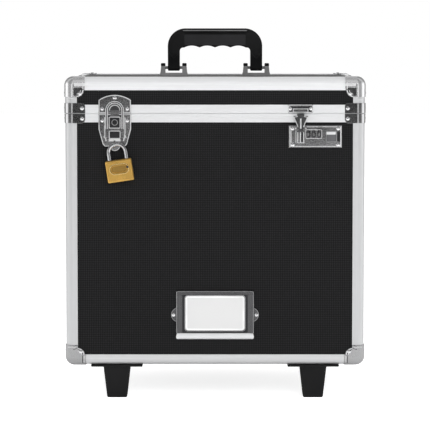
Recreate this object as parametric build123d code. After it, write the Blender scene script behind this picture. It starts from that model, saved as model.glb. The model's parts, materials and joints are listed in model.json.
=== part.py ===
from build123d import *
import math
import os

# Rolling file box: a metal-edged case with a hinged lid, a fold-down carry handle, a padlocked
# hasp latch, a combination latch, a label holder, two feet, two wheels and a telescopic pull handle.
# Millimetres, +Z up, the front faces -Y. The origin is on the ground below the middle of the box.

# Case
case_width = 394.0
case_depth = 330.0
case_bottom = 45.0
lid_height = 48.0
body_height = 332.0
edge_radius = 11.0
seam_gap = 0.5
front_reach = 18.5
rear_reach = 22.0

# Edge extrusions and panels
flange = 1.2
panel_thickness = 4.0
panel_edge_inset = 11.2
post_band = 16.0
base_band = 14.0
rim_band = 11.5
top_band = 17.5
tongue_height = 4.4
tongue_clearance = 0.6
tongue_tip_clearance = 1.0

# Corner protectors and rivets
protector_thickness = 1.0
protector_gap = 0.05
ball_corner_leg = 27.5
ball_corner_ear = 9.0
rim_corner_leg = 28.0
lid_rim_corner_height = 13.5
body_rim_corner_height = 12.5
rim_corner_round = 5.0
rivet_radius = 1.5
rivet_head_radius = 2.7
rivet_head_height = 1.0
rivet_grip = 2.0
rivet_clearance = 0.05
overcut = 1.0
ball_rivet_inset = 4.0
rim_rivet_inset = 23.0

# Feet
foot_inset = 67.0
foot_setback = 24.0
foot_top_width = 35.5
foot_bottom_width = 26.2
foot_flange_width = 68.0
foot_flange_depth = 40.0
foot_flange_drop = 3.0
foot_rivet_spacing = 54.0
foot_pad_gap = 0.1
foot_round = 2.5
foot_toe_bevel = 1.2

# Rear wheels
wheel_inset = 55.0
wheel_setback = 40.0
wheel_radius = 20.0
wheel_width = 20.0
tyre_thickness = 5.0
tyre_round = 2.0
hub_dish_depth = 4.0
hub_rim_wall = 3.0
hub_boss_radius = 7.0
hub_boss_height = 1.0
axle_radius = 3.0
axle_head_radius = 5.0
axle_head_height = 1.8
running_clearance = 0.08
wheel_side_clearance = 0.6
bracket_sheet = 2.5
bracket_plate_drop = 3.0
bracket_rivet_x = 20.0
bracket_rivet_y = 17.0
bracket_length = 44.0
bracket_plate_width = 48.0
bracket_eye_radius = 8.0
bracket_cheek_inset = 4.0

# Hanging file rails
rail_thickness = 2.5
rail_height = 12.0
rail_top_below_rim = 8.0
rail_wall_gap = 5.0
rail_end_gap = 0.3
rail_clip_width = 14.0
rail_clip_sheet = 2.0
rail_clip_inset = 47.0

# Label holder and card
label_width = 102.8
label_height = 64.4
label_rise = 34.3
label_thickness = 3.4
label_window_width = 78.4
label_window_height = 46.1
label_window_rise = 11.4
label_window_round = 3.7
label_corner_round = 2.0
label_ear_radius = 10.0
label_ear_reach = 6.5
label_ear_sheet = 1.2
label_ear_rise = 32.5
label_rivet_reach = 3.1
label_bevel = 1.2
card_width = 91.0
card_height = 56.0
card_thickness = 0.6
card_overlap = 5.0
card_clearance = 0.35

# Hinges
hinge_offset = 3.5
hinge_inset = 67.0
hinge_width = 50.0
hinge_leaf_height = 24.0
hinge_leaf_sheet = 1.5
hinge_knuckle_radius = 3.1
hinge_pin_radius = 1.5
hinge_knuckles = 5
hinge_knuckle_gap = 0.4
hinge_rivet_spacing = 30.0
hinge_rivet_inset = 5.0
hinge_head_lip = 0.9
hinge_head_height = 0.9
hinge_head_gap = 0.3

# Carry handle
handle_pin_spacing = 113.5
handle_leg_width = 16.5
handle_top = 64.4
handle_depth = 19.0
handle_grip_height = 26.5
handle_outer_round = 24.5
handle_inner_round = 4.5
handle_leg_foot = 4.5
handle_foot_depth = 12.0
handle_taper_low = 11.0
handle_taper_high = 20.0
handle_edge_round = 4.0
handle_crown_round = 8.5
scallop_pitch = 21.3
scallop_depth = 2.7
scallop_count = 4
bracket_pin_height = 10.5
bracket_height = 16.6
bracket_floor = 3.3
bracket_base_width = 37.7
bracket_top_width = 34.0
bracket_post = 7.2
bracket_depth = 20.0
bracket_cap_height = 3.9
bracket_cap_inset = 1.2
bracket_cap_round = 1.2
bracket_rivet_spacing = 12.0
handle_pin_radius = 2.0
handle_pin_inset = 1.5
handle_rivet_reach = 2.5

# Pull handle
pull_spacing = 150.0
pull_tube_offset = 11.0
pull_outer_radius = 9.0
pull_wall = 1.2
pull_stage_clearance = 0.1
pull_inner_wall = 1.0
pull_tube_rise = 17.5
pull_stage_step = 6.0
pull_bracket_rise = 15.0
pull_bracket_height = 14.0
pull_bracket_overhang = 16.0
pull_bracket_depth = 22.0
pull_bezel_drop = 59.0
pull_bezel_height = 14.0
pull_bezel_lip = 4.0
pull_collar_height = 2.2
pull_collar_radius = 9.4
pull_seat_gap = 0.4
pull_finger_gap = 20.0
pull_grip_height = 16.0
pull_grip_depth = 20.0
pull_grip_round = 6.0
pull_grip_end = 4.0
pull_socket_wall = 2.2
pull_socket_depth = 8.0
pull_button_length = 24.0
pull_button_width = 9.0
pull_button_height = 6.0
pull_button_proud = 1.5
pull_button_travel = 3.0
pull_button_clearance = 0.3
pull_button_round = 1.0

# Hasp latch and padlock
hasp_inset = 65.7
latch_sheet = 1.2
strike_seam_gap = 0.3
hasp_rivet_x = 16.2
hasp_base_rivet_drop = 9.1
hasp_strike_rivet_rise = 6.4
hasp_crown_rivet_rise = 20.6
hasp_strike_width = 42.6
hasp_strike_shoulder = 18.3
hasp_strike_arch = 24.8
keeper_radius = 7.4
keeper_height = 2.0
keeper_rise = 4.0
keeper_bevel = 0.9
hasp_base_width = 43.0
hasp_base_shoulder = 20.5
hasp_base_waist = 40.0
hasp_base_drop = 43.4
hasp_base_tip_width = 32.0
hasp_base_seam_gap = 0.1
latch_gap = 0.3
hasp_lever_width = 17.4
hasp_lever_thickness = 4.5
hasp_lever_top_drop = 4.0
hasp_lever_drop = 36.0
hasp_tab_width = 14.5
hasp_tab_drop = 48.3
hasp_pivot_drop = 0.5
hasp_barrel_width = 11.0
hasp_lug_width = 2.6
hasp_lug_root_low = 3.6
hasp_lug_root_high = 0.4
hasp_lug_chin_drop = 1.8
hasp_lug_chin_out = 0.6
latch_lug_radius = 2.2
latch_pin_radius = 1.1
bail_outer_width = 24.4
bail_bar = 3.0
bail_thickness = 2.2
bail_top = 16.6
bail_pivot_drop = 29.0
bail_pivot_radius = 1.0
bail_keeper_gap = 0.4
bail_foot_drop = 2.2
bail_stub = 2.2
bail_stub_overlap = 0.2
key_window_width = 13.7
key_window_height = 14.0
key_window_depth = 1.4
key_drop = 11.0
key_cylinder_radius = 4.6
key_cylinder_rise = 0.6
keyhole_width = 1.6
keyhole_length = 5.0
keyhole_depth = 1.0
keyhole_rise = 0.4
lever_pocket_height = 9.0
lever_pocket_drop = 22.5
lug_thickness = 2.4
lug_height = 9.5
eye_drop = 39.2
eye_reach = 5.2
eye_radius = 3.8
padlock_tilt = 8.5
padlock_width = 34.5
padlock_height = 29.0
padlock_thickness = 14.0
padlock_round = 1.6
shackle_wire = 5.0
shackle_spacing = 22.4
shackle_rise = 22.6
shackle_long_leg = 22.0
shackle_short_leg = 6.0
shackle_sag = 0.5
shackle_contact = -1.7
shackle_clearance = 0.1
shackle_toe_room = 1.5
padlock_plug_radius = 5.5
padlock_plug_length = 10.0
padlock_plug_inset = 0.4
padlock_plug_end_room = 0.3
padlock_keyway_length = 8.0
padlock_keyway_width = 1.2
padlock_keyway_depth = 6.0
padlock_plaque_width = 20.0
padlock_plaque_height = 9.0
padlock_plaque_depth = 0.5
padlock_plaque_rise = 17.4

# Combination latch
combo_inset = 65.6
combo_drop = 30.0
combo_width = 69.8
combo_height = 29.5
combo_proud = 4.0
combo_bevel = 1.6
combo_rivet_x = 29.8
combo_rivet_z = 10.6
dial_radius = 5.2
dial_width = 2.6
dial_pitch = 7.15
dial_count = 3
dial_offset = -2.1
dial_rise = 3.3
dial_slot_height = 7.8
dial_slot_clearance = 0.2
housing_wall = 1.2
housing_clearance = 0.2
dial_side_clearance = 0.2
dial_room = 0.5
dial_back_room = 0.4
dial_shaft_seat = 0.84
dial_shaft_radius = 1.2
dial_flat_count = 10
combo_face_sheet = 1.0
combo_lever_offset = -19.3
combo_lever_width = 10.5
combo_lever_cheek = 2.2
combo_lever_bottom_drop = 20.8
combo_lever_web_drop = 6.5
combo_lever_thickness = 4.2
combo_lever_round = 1.5
combo_pivot_rise = 11.8
combo_lug_width = 2.2
combo_lug_root_low = 2.6
combo_lug_root_high = 1.4
combo_lug_chin_drop = 1.6
combo_claw_pin_drop = 5.2
combo_claw_pin_out = 1.2
claw_shank_thickness = 1.8
claw_top_width = 19.3
claw_neck_inset = 0.6
claw_hook_lap = 2.0
claw_neck_rise = 3.4
claw_top_rise = 15.2
claw_hook_width = 9.2
claw_hook_rise = 17.9
combo_strike_width = 32.7
combo_strike_height = 11.4
combo_strike_box_width = 20.3
combo_strike_box_height = 3.2
combo_strike_rivet = 13.4
combo_strike_rivet_rise = 6.8
combo_strike_round = 1.5
combo_strike_box_low = 0.6
combo_strike_box_high = 2.6
combo_strike_bevel = 1.0
button_width = 14.6
button_height = 14.0
button_proud = 2.2
button_offset = 21.0
button_stem = 6.0
button_travel = 4.0
button_bevel = 1.2
button_stem_clearance = 0.3

# Worked-out places
case_center_y = (front_reach - rear_reach) / 2
front_y = case_center_y - case_depth / 2
rear_y = case_center_y + case_depth / 2
half_width = case_width / 2
seam_z = case_bottom + body_height
body_top = seam_z - seam_gap / 2
lid_bottom = seam_z + seam_gap / 2
case_top = seam_z + lid_height
floor_low = case_bottom + flange
inner_skin = flange + panel_thickness
inner_face = inner_skin + flange
panel_front_y = front_y + flange
panel_rear_y = rear_y - flange
hinge_y = rear_y + hinge_offset
hinge_x = half_width - hinge_inset
foot_x = half_width - foot_inset
wheel_x = half_width - wheel_inset
label_bottom = case_bottom + label_rise
label_window_bottom = label_bottom + label_window_rise
label_ear_height = label_bottom + label_ear_rise
pull_tube_bottom = case_bottom + pull_tube_rise
pull_bracket_bottom = case_bottom + pull_bracket_rise
pull_bezel_bottom = seam_z - pull_bezel_drop
hasp_x = hasp_inset - half_width
hasp_face_y = front_y - latch_sheet
hasp_pivot_y = hasp_face_y - latch_gap - hasp_lever_thickness / 2
hasp_pivot_z = seam_z - hasp_pivot_drop
combo_x = half_width - combo_inset
combo_z = seam_z - combo_drop
combo_face_y = front_y - combo_proud
combo_lever_x = combo_x + combo_lever_offset
combo_pivot_y = combo_face_y - latch_gap - combo_lever_thickness / 2
combo_pivot_z = combo_z + combo_pivot_rise


def block(x0, x1, y0, y1, z0, z1):
    """Box between two corners."""
    return Pos((x0 + x1) / 2, (y0 + y1) / 2, (z0 + z1) / 2) * Box(x1 - x0, y1 - y0, z1 - z0)


def rod_x(x0, x1, y, z, radius):
    """Round bar along X."""
    return Pos((x0 + x1) / 2, y, z) * Rot(0, 90, 0) * Cylinder(radius, x1 - x0)


def rod_y(x, y0, y1, z, radius):
    """Round bar along Y."""
    return Pos(x, (y0 + y1) / 2, z) * Rot(90, 0, 0) * Cylinder(radius, y1 - y0)


def rod_z(x, y, z0, z1, radius):
    """Round bar along Z."""
    return Pos(x, y, (z0 + z1) / 2) * Cylinder(radius, z1 - z0)


def front_prism(sketch, y_front, y_back):
    """Prism of a sketch drawn in X and Z, between two depths."""
    return Pos(0, y_back, 0) * extrude(Plane.XZ * sketch, amount=y_back - y_front)


def side_prism(sketch, x0, x1):
    """Prism of a sketch drawn in Y and Z, between two widths."""
    return Pos(x0, 0, 0) * extrude(Plane.YZ * sketch, amount=x1 - x0)


def polygon(*points):
    """Closed face through the given points."""
    return make_face(Polyline(*points, close=True))


def both_sides(shape):
    """A shape and its mirror image left to right."""
    return [shape, mirror(shape, about=Plane.YZ)]


def four_corners(shape):
    """A shape repeated at the four upright edges of the case."""
    middle = Plane.XZ.offset(-case_center_y)
    return both_sides(shape) + both_sides(mirror(shape, about=middle))


def save(name, shapes):
    """Write one node, made of one or more separate solids."""
    shapes = shapes if isinstance(shapes, list) else [shapes]
    solids = [solid for shape in shapes for solid in shape.solids()]
    export_step(solids[0] if len(solids) == 1 else Compound(children=solids), f"parts/{name}.step")


def rounded_body(grow):
    """Outer shape of the lower box, grown outward, with rounded upright and bottom edges."""
    low = case_bottom - grow
    shape = block(-half_width - grow, half_width + grow, front_y - grow, rear_y + grow, low, body_top)
    edges = shape.edges().filter_by(Axis.Z) + shape.edges().group_by(Axis.Z)[0]
    return fillet(edges, edge_radius + grow)


def rounded_lid(grow):
    """Outer shape of the lid, grown outward, with rounded upright and top edges."""
    high = case_top + grow
    shape = block(-half_width - grow, half_width + grow, front_y - grow, rear_y + grow, lid_bottom, high)
    edges = shape.edges().filter_by(Axis.Z) + shape.edges().group_by(Axis.Z)[-1]
    return fillet(edges, edge_radius + grow)


def rounded_ring(outer_inset, inner_inset, z0, z1):
    """Rectangular ring that follows the case outline, between two insets from its faces."""
    outer = RectangleRounded(case_width - 2 * outer_inset, case_depth - 2 * outer_inset,
                             edge_radius - outer_inset)
    inner = RectangleRounded(case_width - 2 * inner_inset, case_depth - 2 * inner_inset,
                             edge_radius - inner_inset)
    return Pos(0, case_center_y, z0) * extrude(outer - inner, amount=z1 - z0)


def wall_panels(z0, z1):
    """Front, rear, left and right panels between two heights."""
    x_edge = half_width - panel_edge_inset
    y_low = front_y + panel_edge_inset
    y_high = rear_y - panel_edge_inset
    front = block(-x_edge, x_edge, front_y + flange, front_y + inner_skin, z0, z1)
    rear = block(-x_edge, x_edge, rear_y - inner_skin, rear_y - flange, z0, z1)
    left = block(-half_width + flange, -half_width + inner_skin, y_low, y_high, z0, z1)
    right = block(half_width - inner_skin, half_width - flange, y_low, y_high, z0, z1)
    return front, rear, left, right


def flat_panel(z0, z1):
    """Floor or top panel between two heights."""
    x_edge = half_width - panel_edge_inset
    return block(-x_edge, x_edge, front_y + panel_edge_inset, rear_y - panel_edge_inset, z0, z1)


def face_windows(z0, z1):
    """Cutters that open the middle of the four upright faces of a frame."""
    x_edge = half_width - post_band
    across = block(-x_edge, x_edge, front_y - overcut, rear_y + overcut, z0, z1)
    along = block(-half_width - overcut, half_width + overcut, front_y + post_band, rear_y - post_band, z0,
                  z1)
    return [across, along]


def flat_window(z0, z1):
    """Cutter that opens the middle of the floor or top of a frame."""
    x_edge = half_width - post_band
    return block(-x_edge, x_edge, front_y + post_band, rear_y - post_band, z0, z1)


def inner_block(z0, z1):
    """Clear space inside the frame."""
    x_edge = half_width - inner_face
    return block(-x_edge, x_edge, front_y + inner_face, rear_y - inner_face, z0, z1)


# Lower box; its feet and wheel brackets are seated on the sunken floor panel.
body_panel_bottom = case_bottom + panel_edge_inset
body_panel_top = body_top - flange
floor_high = floor_low + panel_thickness
body_walls = wall_panels(body_panel_bottom, body_panel_top)
body_floor = flat_panel(floor_low, floor_high)


def body_frame():
    """All the edge extrusions of the lower box, before they are parted."""
    frame = rounded_body(0) - inner_block(case_bottom + inner_face, seam_z + overcut)
    frame = frame - face_windows(case_bottom + base_band, seam_z - rim_band)
    frame = frame - flat_window(case_bottom - overcut, case_bottom + inner_face + overcut)
    frame = frame - list(body_walls) - body_floor
    tongue_z = body_top + tongue_height
    tongue = rounded_ring(flange + tongue_clearance, inner_skin - tongue_clearance, body_top, tongue_z)
    rear_cut = block(-half_width, half_width, rear_y - post_band, rear_y, body_top - overcut,
                     tongue_z + overcut)
    return frame + (tongue - rear_cut)


# Lid
lid_groove_top = body_top + tongue_height + tongue_tip_clearance
lid_panel_bottom = lid_groove_top + flange
lid_panel_top = case_top - panel_edge_inset
lid_sheet_high = case_top - flange
lid_sheet_low = lid_sheet_high - panel_thickness
lid_walls = wall_panels(lid_panel_bottom, lid_panel_top)
lid_top = flat_panel(lid_sheet_low, lid_sheet_high)


def lid_frame():
    """All the edge extrusions of the lid, before they are parted."""
    frame = rounded_lid(0) - inner_block(seam_z - overcut, case_top - inner_face)
    frame = frame - face_windows(seam_z + rim_band, case_top - top_band)
    frame = frame - flat_window(case_top - inner_face - overcut, case_top + overcut)
    frame = frame - list(lid_walls) - lid_top
    groove = rounded_ring(flange, inner_skin, seam_z - overcut, lid_groove_top)
    return frame - groove


def slab(z0, z1):
    """Everything between two heights."""
    reach = case_width
    return block(-reach, reach, -reach, reach, z0, z1)


def rivet(point, direction, grip=rivet_grip):
    """Domed rivet seated at a point, its head facing along the direction."""
    cap = 2 * rivet_head_radius
    dome = Sphere(rivet_head_radius) & Pos(0, 0, cap / 4) * Box(cap, cap, cap / 2)
    dome = scale(dome, by=(1, 1, rivet_head_height / rivet_head_radius))
    shank = Pos(0, 0, -grip / 2) * Cylinder(rivet_radius, grip)
    return Plane(origin=point, z_dir=direction) * (dome + shank)


def rivet_hole(point, direction, grip=rivet_grip):
    """Clearance hole for a rivet."""
    depth = grip + rivet_clearance
    hole = Cylinder(rivet_radius + rivet_clearance, 2 * depth)
    return Plane(origin=point, z_dir=direction) * hole


# Corner protectors are drawn at the front right corner and mirrored to the others.
protector_reach = protector_gap + protector_thickness
protector_face_x = half_width + protector_reach
protector_face_y = front_y - protector_reach


def ball_outline(corner_a, corner_z, band_a, band_z, inward_a, inward_z):
    """Outline of one face of a ball corner: two legs along the edges and an ear over the panel."""
    tip_a = corner_a - inward_a * protector_reach
    tip_z = corner_z - inward_z * protector_reach
    leg = ball_corner_leg

    def rectangle(size_a, size_z):
        return Pos(tip_a + inward_a * size_a / 2, tip_z + inward_z * size_z / 2) * Rectangle(size_a, size_z)

    legs = rectangle(leg, band_z + protector_reach) + rectangle(band_a + protector_reach, leg)
    ear_center = (corner_a + inward_a * band_a, corner_z + inward_z * band_z)
    return legs + Pos(*ear_center) * Circle(ball_corner_ear)


def ear_fill(axis_name, corner_a, corner_b, band_a, band_b, inward_a, inward_b, face, inward_face):
    """Quarter round pad that carries a ball corner's ear down onto the sunken panel."""
    center_a = corner_a + inward_a * band_a
    center_b = corner_b + inward_b * band_b
    quarter = Circle(ball_corner_ear) & Pos(inward_a * ball_corner_ear / 2,
                                            inward_b * ball_corner_ear / 2) * Rectangle(ball_corner_ear,
                                                                                        ball_corner_ear)
    outline = Pos(center_a, center_b) * quarter
    low = min(face - inward_face * protector_gap, face + inward_face * flange)
    high = max(face - inward_face * protector_gap, face + inward_face * flange)
    if axis_name == "y":
        return front_prism(outline, low, high)
    if axis_name == "x":
        return side_prism(outline, low, high)
    return Pos(0, 0, low) * extrude(outline, amount=high - low)


def ball_corner(shell, end_z, end_band, up):
    """Three-legged corner protector at the end face of the box, at the front right corner."""
    depth = edge_radius + protector_reach
    front = front_prism(ball_outline(half_width, end_z, post_band, end_band, -1, up),
                        front_y - 2 * protector_reach, front_y + depth)
    side = side_prism(ball_outline(front_y, end_z, post_band, end_band, 1, up), half_width - depth,
                      half_width + 2 * protector_reach)
    flat = extrude(ball_outline(half_width, front_y, post_band, post_band, -1, 1),
                   amount=depth + 2 * protector_reach)
    flat = Pos(0, 0, min(end_z + up * depth, end_z - up * 2 * protector_reach)) * flat
    piece = shell & (front + side + flat)
    piece = piece + ear_fill("y", half_width, end_z, post_band, end_band, -1, up, front_y, 1)
    piece = piece + ear_fill("x", front_y, end_z, post_band, end_band, 1, up, half_width, -1)
    return piece + ear_fill("z", half_width, front_y, post_band, post_band, -1, 1, end_z, up)


def ball_rivets(end_z, end_band, up):
    """Seats and directions of a ball corner's three rivets."""
    inset = ball_rivet_inset
    front = (half_width - post_band - inset, protector_face_y, end_z + up * (end_band + inset))
    side = (protector_face_x, front_y + post_band + inset, end_z + up * (end_band + inset))
    flat = (half_width - post_band - inset, front_y + post_band + inset, end_z - up * protector_reach)
    return [(front, (0, -1, 0)), (side, (1, 0, 0)), (flat, (0, 0, -up))]


def rim_corner(shell, edge_z, height, up):
    """Two-legged protector that wraps an upright edge at the seam, at the front right corner."""
    far_z = edge_z + up * height
    low = min(edge_z, far_z)

    def outline(corner_a, inward):
        tip = corner_a - inward * protector_reach
        end = tip + inward * rim_corner_leg
        plate = Pos((tip + end) / 2, low + height / 2) * Rectangle(rim_corner_leg, height)
        corner = plate.vertices().sort_by_distance((end, far_z, 0))[0]
        return fillet(corner, rim_corner_round)

    depth = edge_radius + protector_reach
    front = front_prism(outline(half_width, -1), front_y - 2 * protector_reach, front_y + depth)
    side = side_prism(outline(front_y, 1), half_width - depth, half_width + 2 * protector_reach)
    pad_band = seam_z + up * rim_band
    pad_low, pad_high = min(pad_band, far_z), max(pad_band, far_z)
    window_edge = half_width - post_band
    pad_reach = rim_corner_leg - protector_reach
    front_pad = block(half_width - pad_reach, window_edge, front_y - protector_gap, panel_front_y, pad_low,
                      pad_high)
    side_pad = block(half_width - flange, half_width + protector_gap, front_y + post_band,
                     front_y + pad_reach, pad_low, pad_high)
    pads = (front_pad & front) + (side_pad & side)
    return (shell & (front + side)) + pads


def rim_rivets(edge_z, height, up):
    """Seats and directions of a rim corner's two rivets."""
    z = edge_z + up * height / 2
    front = (half_width - rim_rivet_inset, protector_face_y, z)
    side = (protector_face_x, front_y + rim_rivet_inset, z)
    return [(front, (0, -1, 0)), (side, (1, 0, 0))]


def placed(seats, maker):
    """Rivets or their holes at the four corners of the case."""
    shapes = []
    for point, direction in seats:
        shapes += four_corners(maker(point, direction))
    return shapes


def single(seats, maker):
    """Rivets or their holes, each where it is given."""
    return [maker(point, direction) for point, direction in seats]


def body_shell():
    """Skin that the lower box's protectors are cut from."""
    return rounded_body(protector_reach) - rounded_body(protector_gap)


def lid_shell():
    """Skin that the lid's protectors are cut from."""
    return rounded_lid(protector_reach) - rounded_lid(protector_gap)


# Seats of the rivets that are not on corners
combo_seats = [((combo_x + side * combo_rivet_x, combo_face_y, combo_z + level * combo_rivet_z),
                (0, -1, 0)) for side in (-1, 1) for level in (-1, 1)]
hasp_base_seats = [((hasp_x + side * hasp_rivet_x, hasp_face_y, seam_z - hasp_base_rivet_drop), (0, -1, 0))
                   for side in (-1, 1)]
hasp_strike_seats = [((hasp_x + side * hasp_rivet_x, hasp_face_y, seam_z + hasp_strike_rivet_rise),
                      (0, -1, 0)) for side in (-1, 1)]
hasp_strike_seats += [((hasp_x, hasp_face_y, seam_z + hasp_crown_rivet_rise), (0, -1, 0))]
combo_strike_seats = [((combo_lever_x + side * combo_strike_rivet, hasp_face_y,
                        seam_z + combo_strike_rivet_rise), (0, -1, 0)) for side in (-1, 1)]
label_ear_face = panel_front_y - label_ear_sheet
label_seats = [((side * (label_width / 2 + label_rivet_reach), label_ear_face, label_ear_height),
                (0, -1, 0)) for side in (-1, 1)]
hinge_face_y = rear_y + hinge_leaf_sheet
hinge_body_seats = [((side * hinge_x + step * hinge_rivet_spacing / 2, hinge_face_y,
                      seam_z - hinge_leaf_height + hinge_rivet_inset), (0, 1, 0)) for side in (-1, 1)
                    for step in (-1, 1)]
hinge_lid_seats = [((side * hinge_x + step * hinge_rivet_spacing / 2, hinge_face_y,
                     seam_z + hinge_leaf_height - hinge_rivet_inset), (0, 1, 0)) for side in (-1, 1)
                   for step in (-1, 1)]
foot_seats = [((side * foot_x + step * foot_rivet_spacing / 2, front_y + foot_setback,
                case_bottom - foot_flange_drop), (0, 0, -1)) for side in (-1, 1) for step in (-1, 1)]
wheel_seats = [((side * wheel_x + step * bracket_rivet_x,
                 rear_y - wheel_setback + turn * bracket_rivet_y, case_bottom - bracket_plate_drop),
                (0, 0, -1)) for side in (-1, 1) for step in (-1, 1) for turn in (-1, 1)]
handle_seats = [((side * handle_pin_spacing / 2, case_center_y + step * bracket_rivet_spacing / 2,
                  case_top - inner_skin), (0, 0, -1)) for side in (-1, 1) for step in (-1, 1)]
handle_rivet_grip = panel_thickness + handle_rivet_reach


def hinge_leaf(up, keep):
    """One hinge leaf with its share of the knuckles, centred on X = 0."""
    half = hinge_width / 2
    tip = seam_z + up * hinge_leaf_height
    band = seam_z + up * rim_band
    edge = seam_z + up * hinge_knuckle_gap
    plate = block(-half, half, rear_y, hinge_face_y, min(edge, tip), max(edge, tip))
    pad = block(-half, half, panel_rear_y, rear_y, min(band, tip), max(band, tip))
    leaf = plate + pad
    pitch = hinge_width / hinge_knuckles
    for index in range(hinge_knuckles):
        low = -half + index * pitch + hinge_knuckle_gap / 2
        high = low + pitch - hinge_knuckle_gap
        if index % 2 == keep:
            knuckle = rod_x(low, high, hinge_y, seam_z, hinge_knuckle_radius)
            neck = block(low, high, rear_y, hinge_y, min(seam_z, seam_z + up * hinge_knuckle_radius),
                         max(seam_z, seam_z + up * hinge_knuckle_radius))
            leaf = leaf + (knuckle + neck)
        else:
            gap = hinge_knuckle_radius + hinge_knuckle_gap
            leaf = leaf - rod_x(low - hinge_knuckle_gap, high + hinge_knuckle_gap, hinge_y, seam_z, gap)
    return leaf - rod_x(-half - overcut, half + overcut, hinge_y, seam_z,
                        hinge_pin_radius + running_clearance)


def at_hinges(shape):
    """A hinge piece at both hinges."""
    return [Pos(side * hinge_x, 0, 0) * shape for side in (-1, 1)]


def hinge_pin():
    """Hinge pin with a small head at each end."""
    half = hinge_width / 2
    inner = half + hinge_head_gap
    outer = inner + hinge_head_height
    pin = rod_x(-outer, outer, hinge_y, seam_z, hinge_pin_radius)
    heads = both_sides(rod_x(inner, outer, hinge_y, seam_z, hinge_pin_radius + hinge_head_lip))
    return pin + heads[0] + heads[1]


def make_body():
    """Write the lower box."""
    frame = body_frame()
    base_top = case_bottom + base_band
    rim_low = seam_z - rim_band
    shell = body_shell()
    ball = ball_corner(shell, case_bottom, base_band, 1)
    rim = rim_corner(shell, body_top, body_rim_corner_height, -1)
    ball_seats = ball_rivets(case_bottom, base_band, 1)
    rim_seats = rim_rivets(body_top, body_rim_corner_height, -1)
    other_seats = combo_seats + hasp_base_seats + label_seats + hinge_body_seats + foot_seats + wheel_seats
    corner_holes = placed(ball_seats + rim_seats, rivet_hole)
    holes = corner_holes + single(other_seats, rivet_hole)
    front, rear, left, right = body_walls
    save("body_front_panel", front - dial_housing(housing_clearance) - holes)
    save("body_back_panel", rear - holes)
    save("body_side_panels", [left - corner_holes, right - corner_holes])
    save("body_floor_panel", body_floor - corner_holes)
    save("body_corner_posts", (frame & slab(base_top, rim_low)) - corner_holes)
    save("body_base_extrusion", (frame & slab(0, base_top)) - corner_holes)
    save("body_rim_extrusion", (frame & slab(rim_low, case_top)) - holes)
    save("body_base_corners", [piece - corner_holes for piece in four_corners(ball)])
    save("body_rim_corners", [piece - corner_holes for piece in four_corners(rim)])
    save("body_rivets", placed(ball_seats + rim_seats, rivet) + single(other_seats, rivet))


def make_lid():
    """Write the lid."""
    frame = lid_frame()
    rim_high = seam_z + rim_band
    top_low = case_top - top_band
    shell = lid_shell()
    ball = ball_corner(shell, case_top, top_band, -1)
    rim = rim_corner(shell, lid_bottom, lid_rim_corner_height, 1)
    ball_seats = ball_rivets(case_top, top_band, -1)
    rim_seats = rim_rivets(lid_bottom, lid_rim_corner_height, 1)
    other_seats = hasp_strike_seats + combo_strike_seats + hinge_lid_seats
    handle_holes = [rivet_hole(*seat, handle_rivet_grip) for seat in handle_seats]
    handle_rivets = [rivet(*seat, handle_rivet_grip) for seat in handle_seats]
    corner_holes = placed(ball_seats + rim_seats, rivet_hole)
    holes = corner_holes + single(other_seats, rivet_hole)
    save("lid_top_panel", lid_top - holes - handle_holes)
    save("lid_wall_panels", [panel - holes for panel in lid_walls])
    save("lid_top_extrusion", (frame & slab(top_low, case_top + overcut)) - corner_holes)
    save("lid_corner_posts", (frame & slab(rim_high, top_low)) - corner_holes)
    save("lid_rim_extrusion", (frame & slab(0, rim_high)) - holes)
    save("lid_top_corners", [piece - corner_holes for piece in four_corners(ball)])
    save("lid_rim_corners", [piece - corner_holes for piece in four_corners(rim)])
    save("lid_rivets", placed(ball_seats + rim_seats, rivet) + single(other_seats, rivet) + handle_rivets)


def make_hinges():
    """Write the hinge leaves and pins."""
    body_holes = single(hinge_body_seats, rivet_hole)
    lid_holes = single(hinge_lid_seats, rivet_hole)
    save("hinge_body_leaves", [leaf - body_holes for leaf in at_hinges(hinge_leaf(-1, 0))])
    save("hinge_lid_leaves", [leaf - lid_holes for leaf in at_hinges(hinge_leaf(1, 1))])
    save("hinge_pins", at_hinges(hinge_pin()))


def foot():
    """Tapered foot with its mounting flange, below the front edge."""
    y = front_y + foot_setback
    top = case_bottom - foot_flange_drop
    flange_half = foot_flange_width / 2
    flange_rear = y + foot_flange_depth / 2
    flange_plate = block(-flange_half, flange_half, y - foot_flange_depth / 2, flange_rear, top, case_bottom)
    pad_front = front_y + post_band + foot_pad_gap
    pad = block(-flange_half, flange_half, pad_front, flange_rear, case_bottom, floor_low)
    upper = Pos(0, y, top) * RectangleRounded(foot_top_width, foot_top_width, foot_round)
    lower = Pos(0, y, 0) * RectangleRounded(foot_bottom_width, foot_bottom_width, foot_round)
    leg = loft([lower.face(), upper.face()])
    leg = chamfer(leg.edges().group_by(Axis.Z)[0], foot_toe_bevel)
    return leg + flange_plate + pad


def wheel_bracket():
    """Fork with its mounting plate, above one wheel."""
    y = rear_y - wheel_setback
    under = case_bottom - bracket_plate_drop
    plate = block(-bracket_plate_width / 2, bracket_plate_width / 2, y - bracket_length / 2,
                  y + bracket_length / 2, under, floor_low)
    inner = wheel_width / 2 + hub_boss_height + wheel_side_clearance
    eye = bracket_eye_radius
    root = bracket_length / 2 - bracket_cheek_inset
    cheek_outline = polygon((y - root, under), (y + root, under), (y + eye, wheel_radius),
                            (y - eye, wheel_radius))
    cheek_outline = cheek_outline + Pos(y, wheel_radius) * Circle(eye)
    cheek = side_prism(cheek_outline, inner, inner + bracket_sheet)
    cheeks = both_sides(cheek)
    bore = rod_x(-bracket_plate_width, bracket_plate_width, y, wheel_radius, axle_radius)
    return plate + cheeks[0] + cheeks[1] - bore


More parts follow.
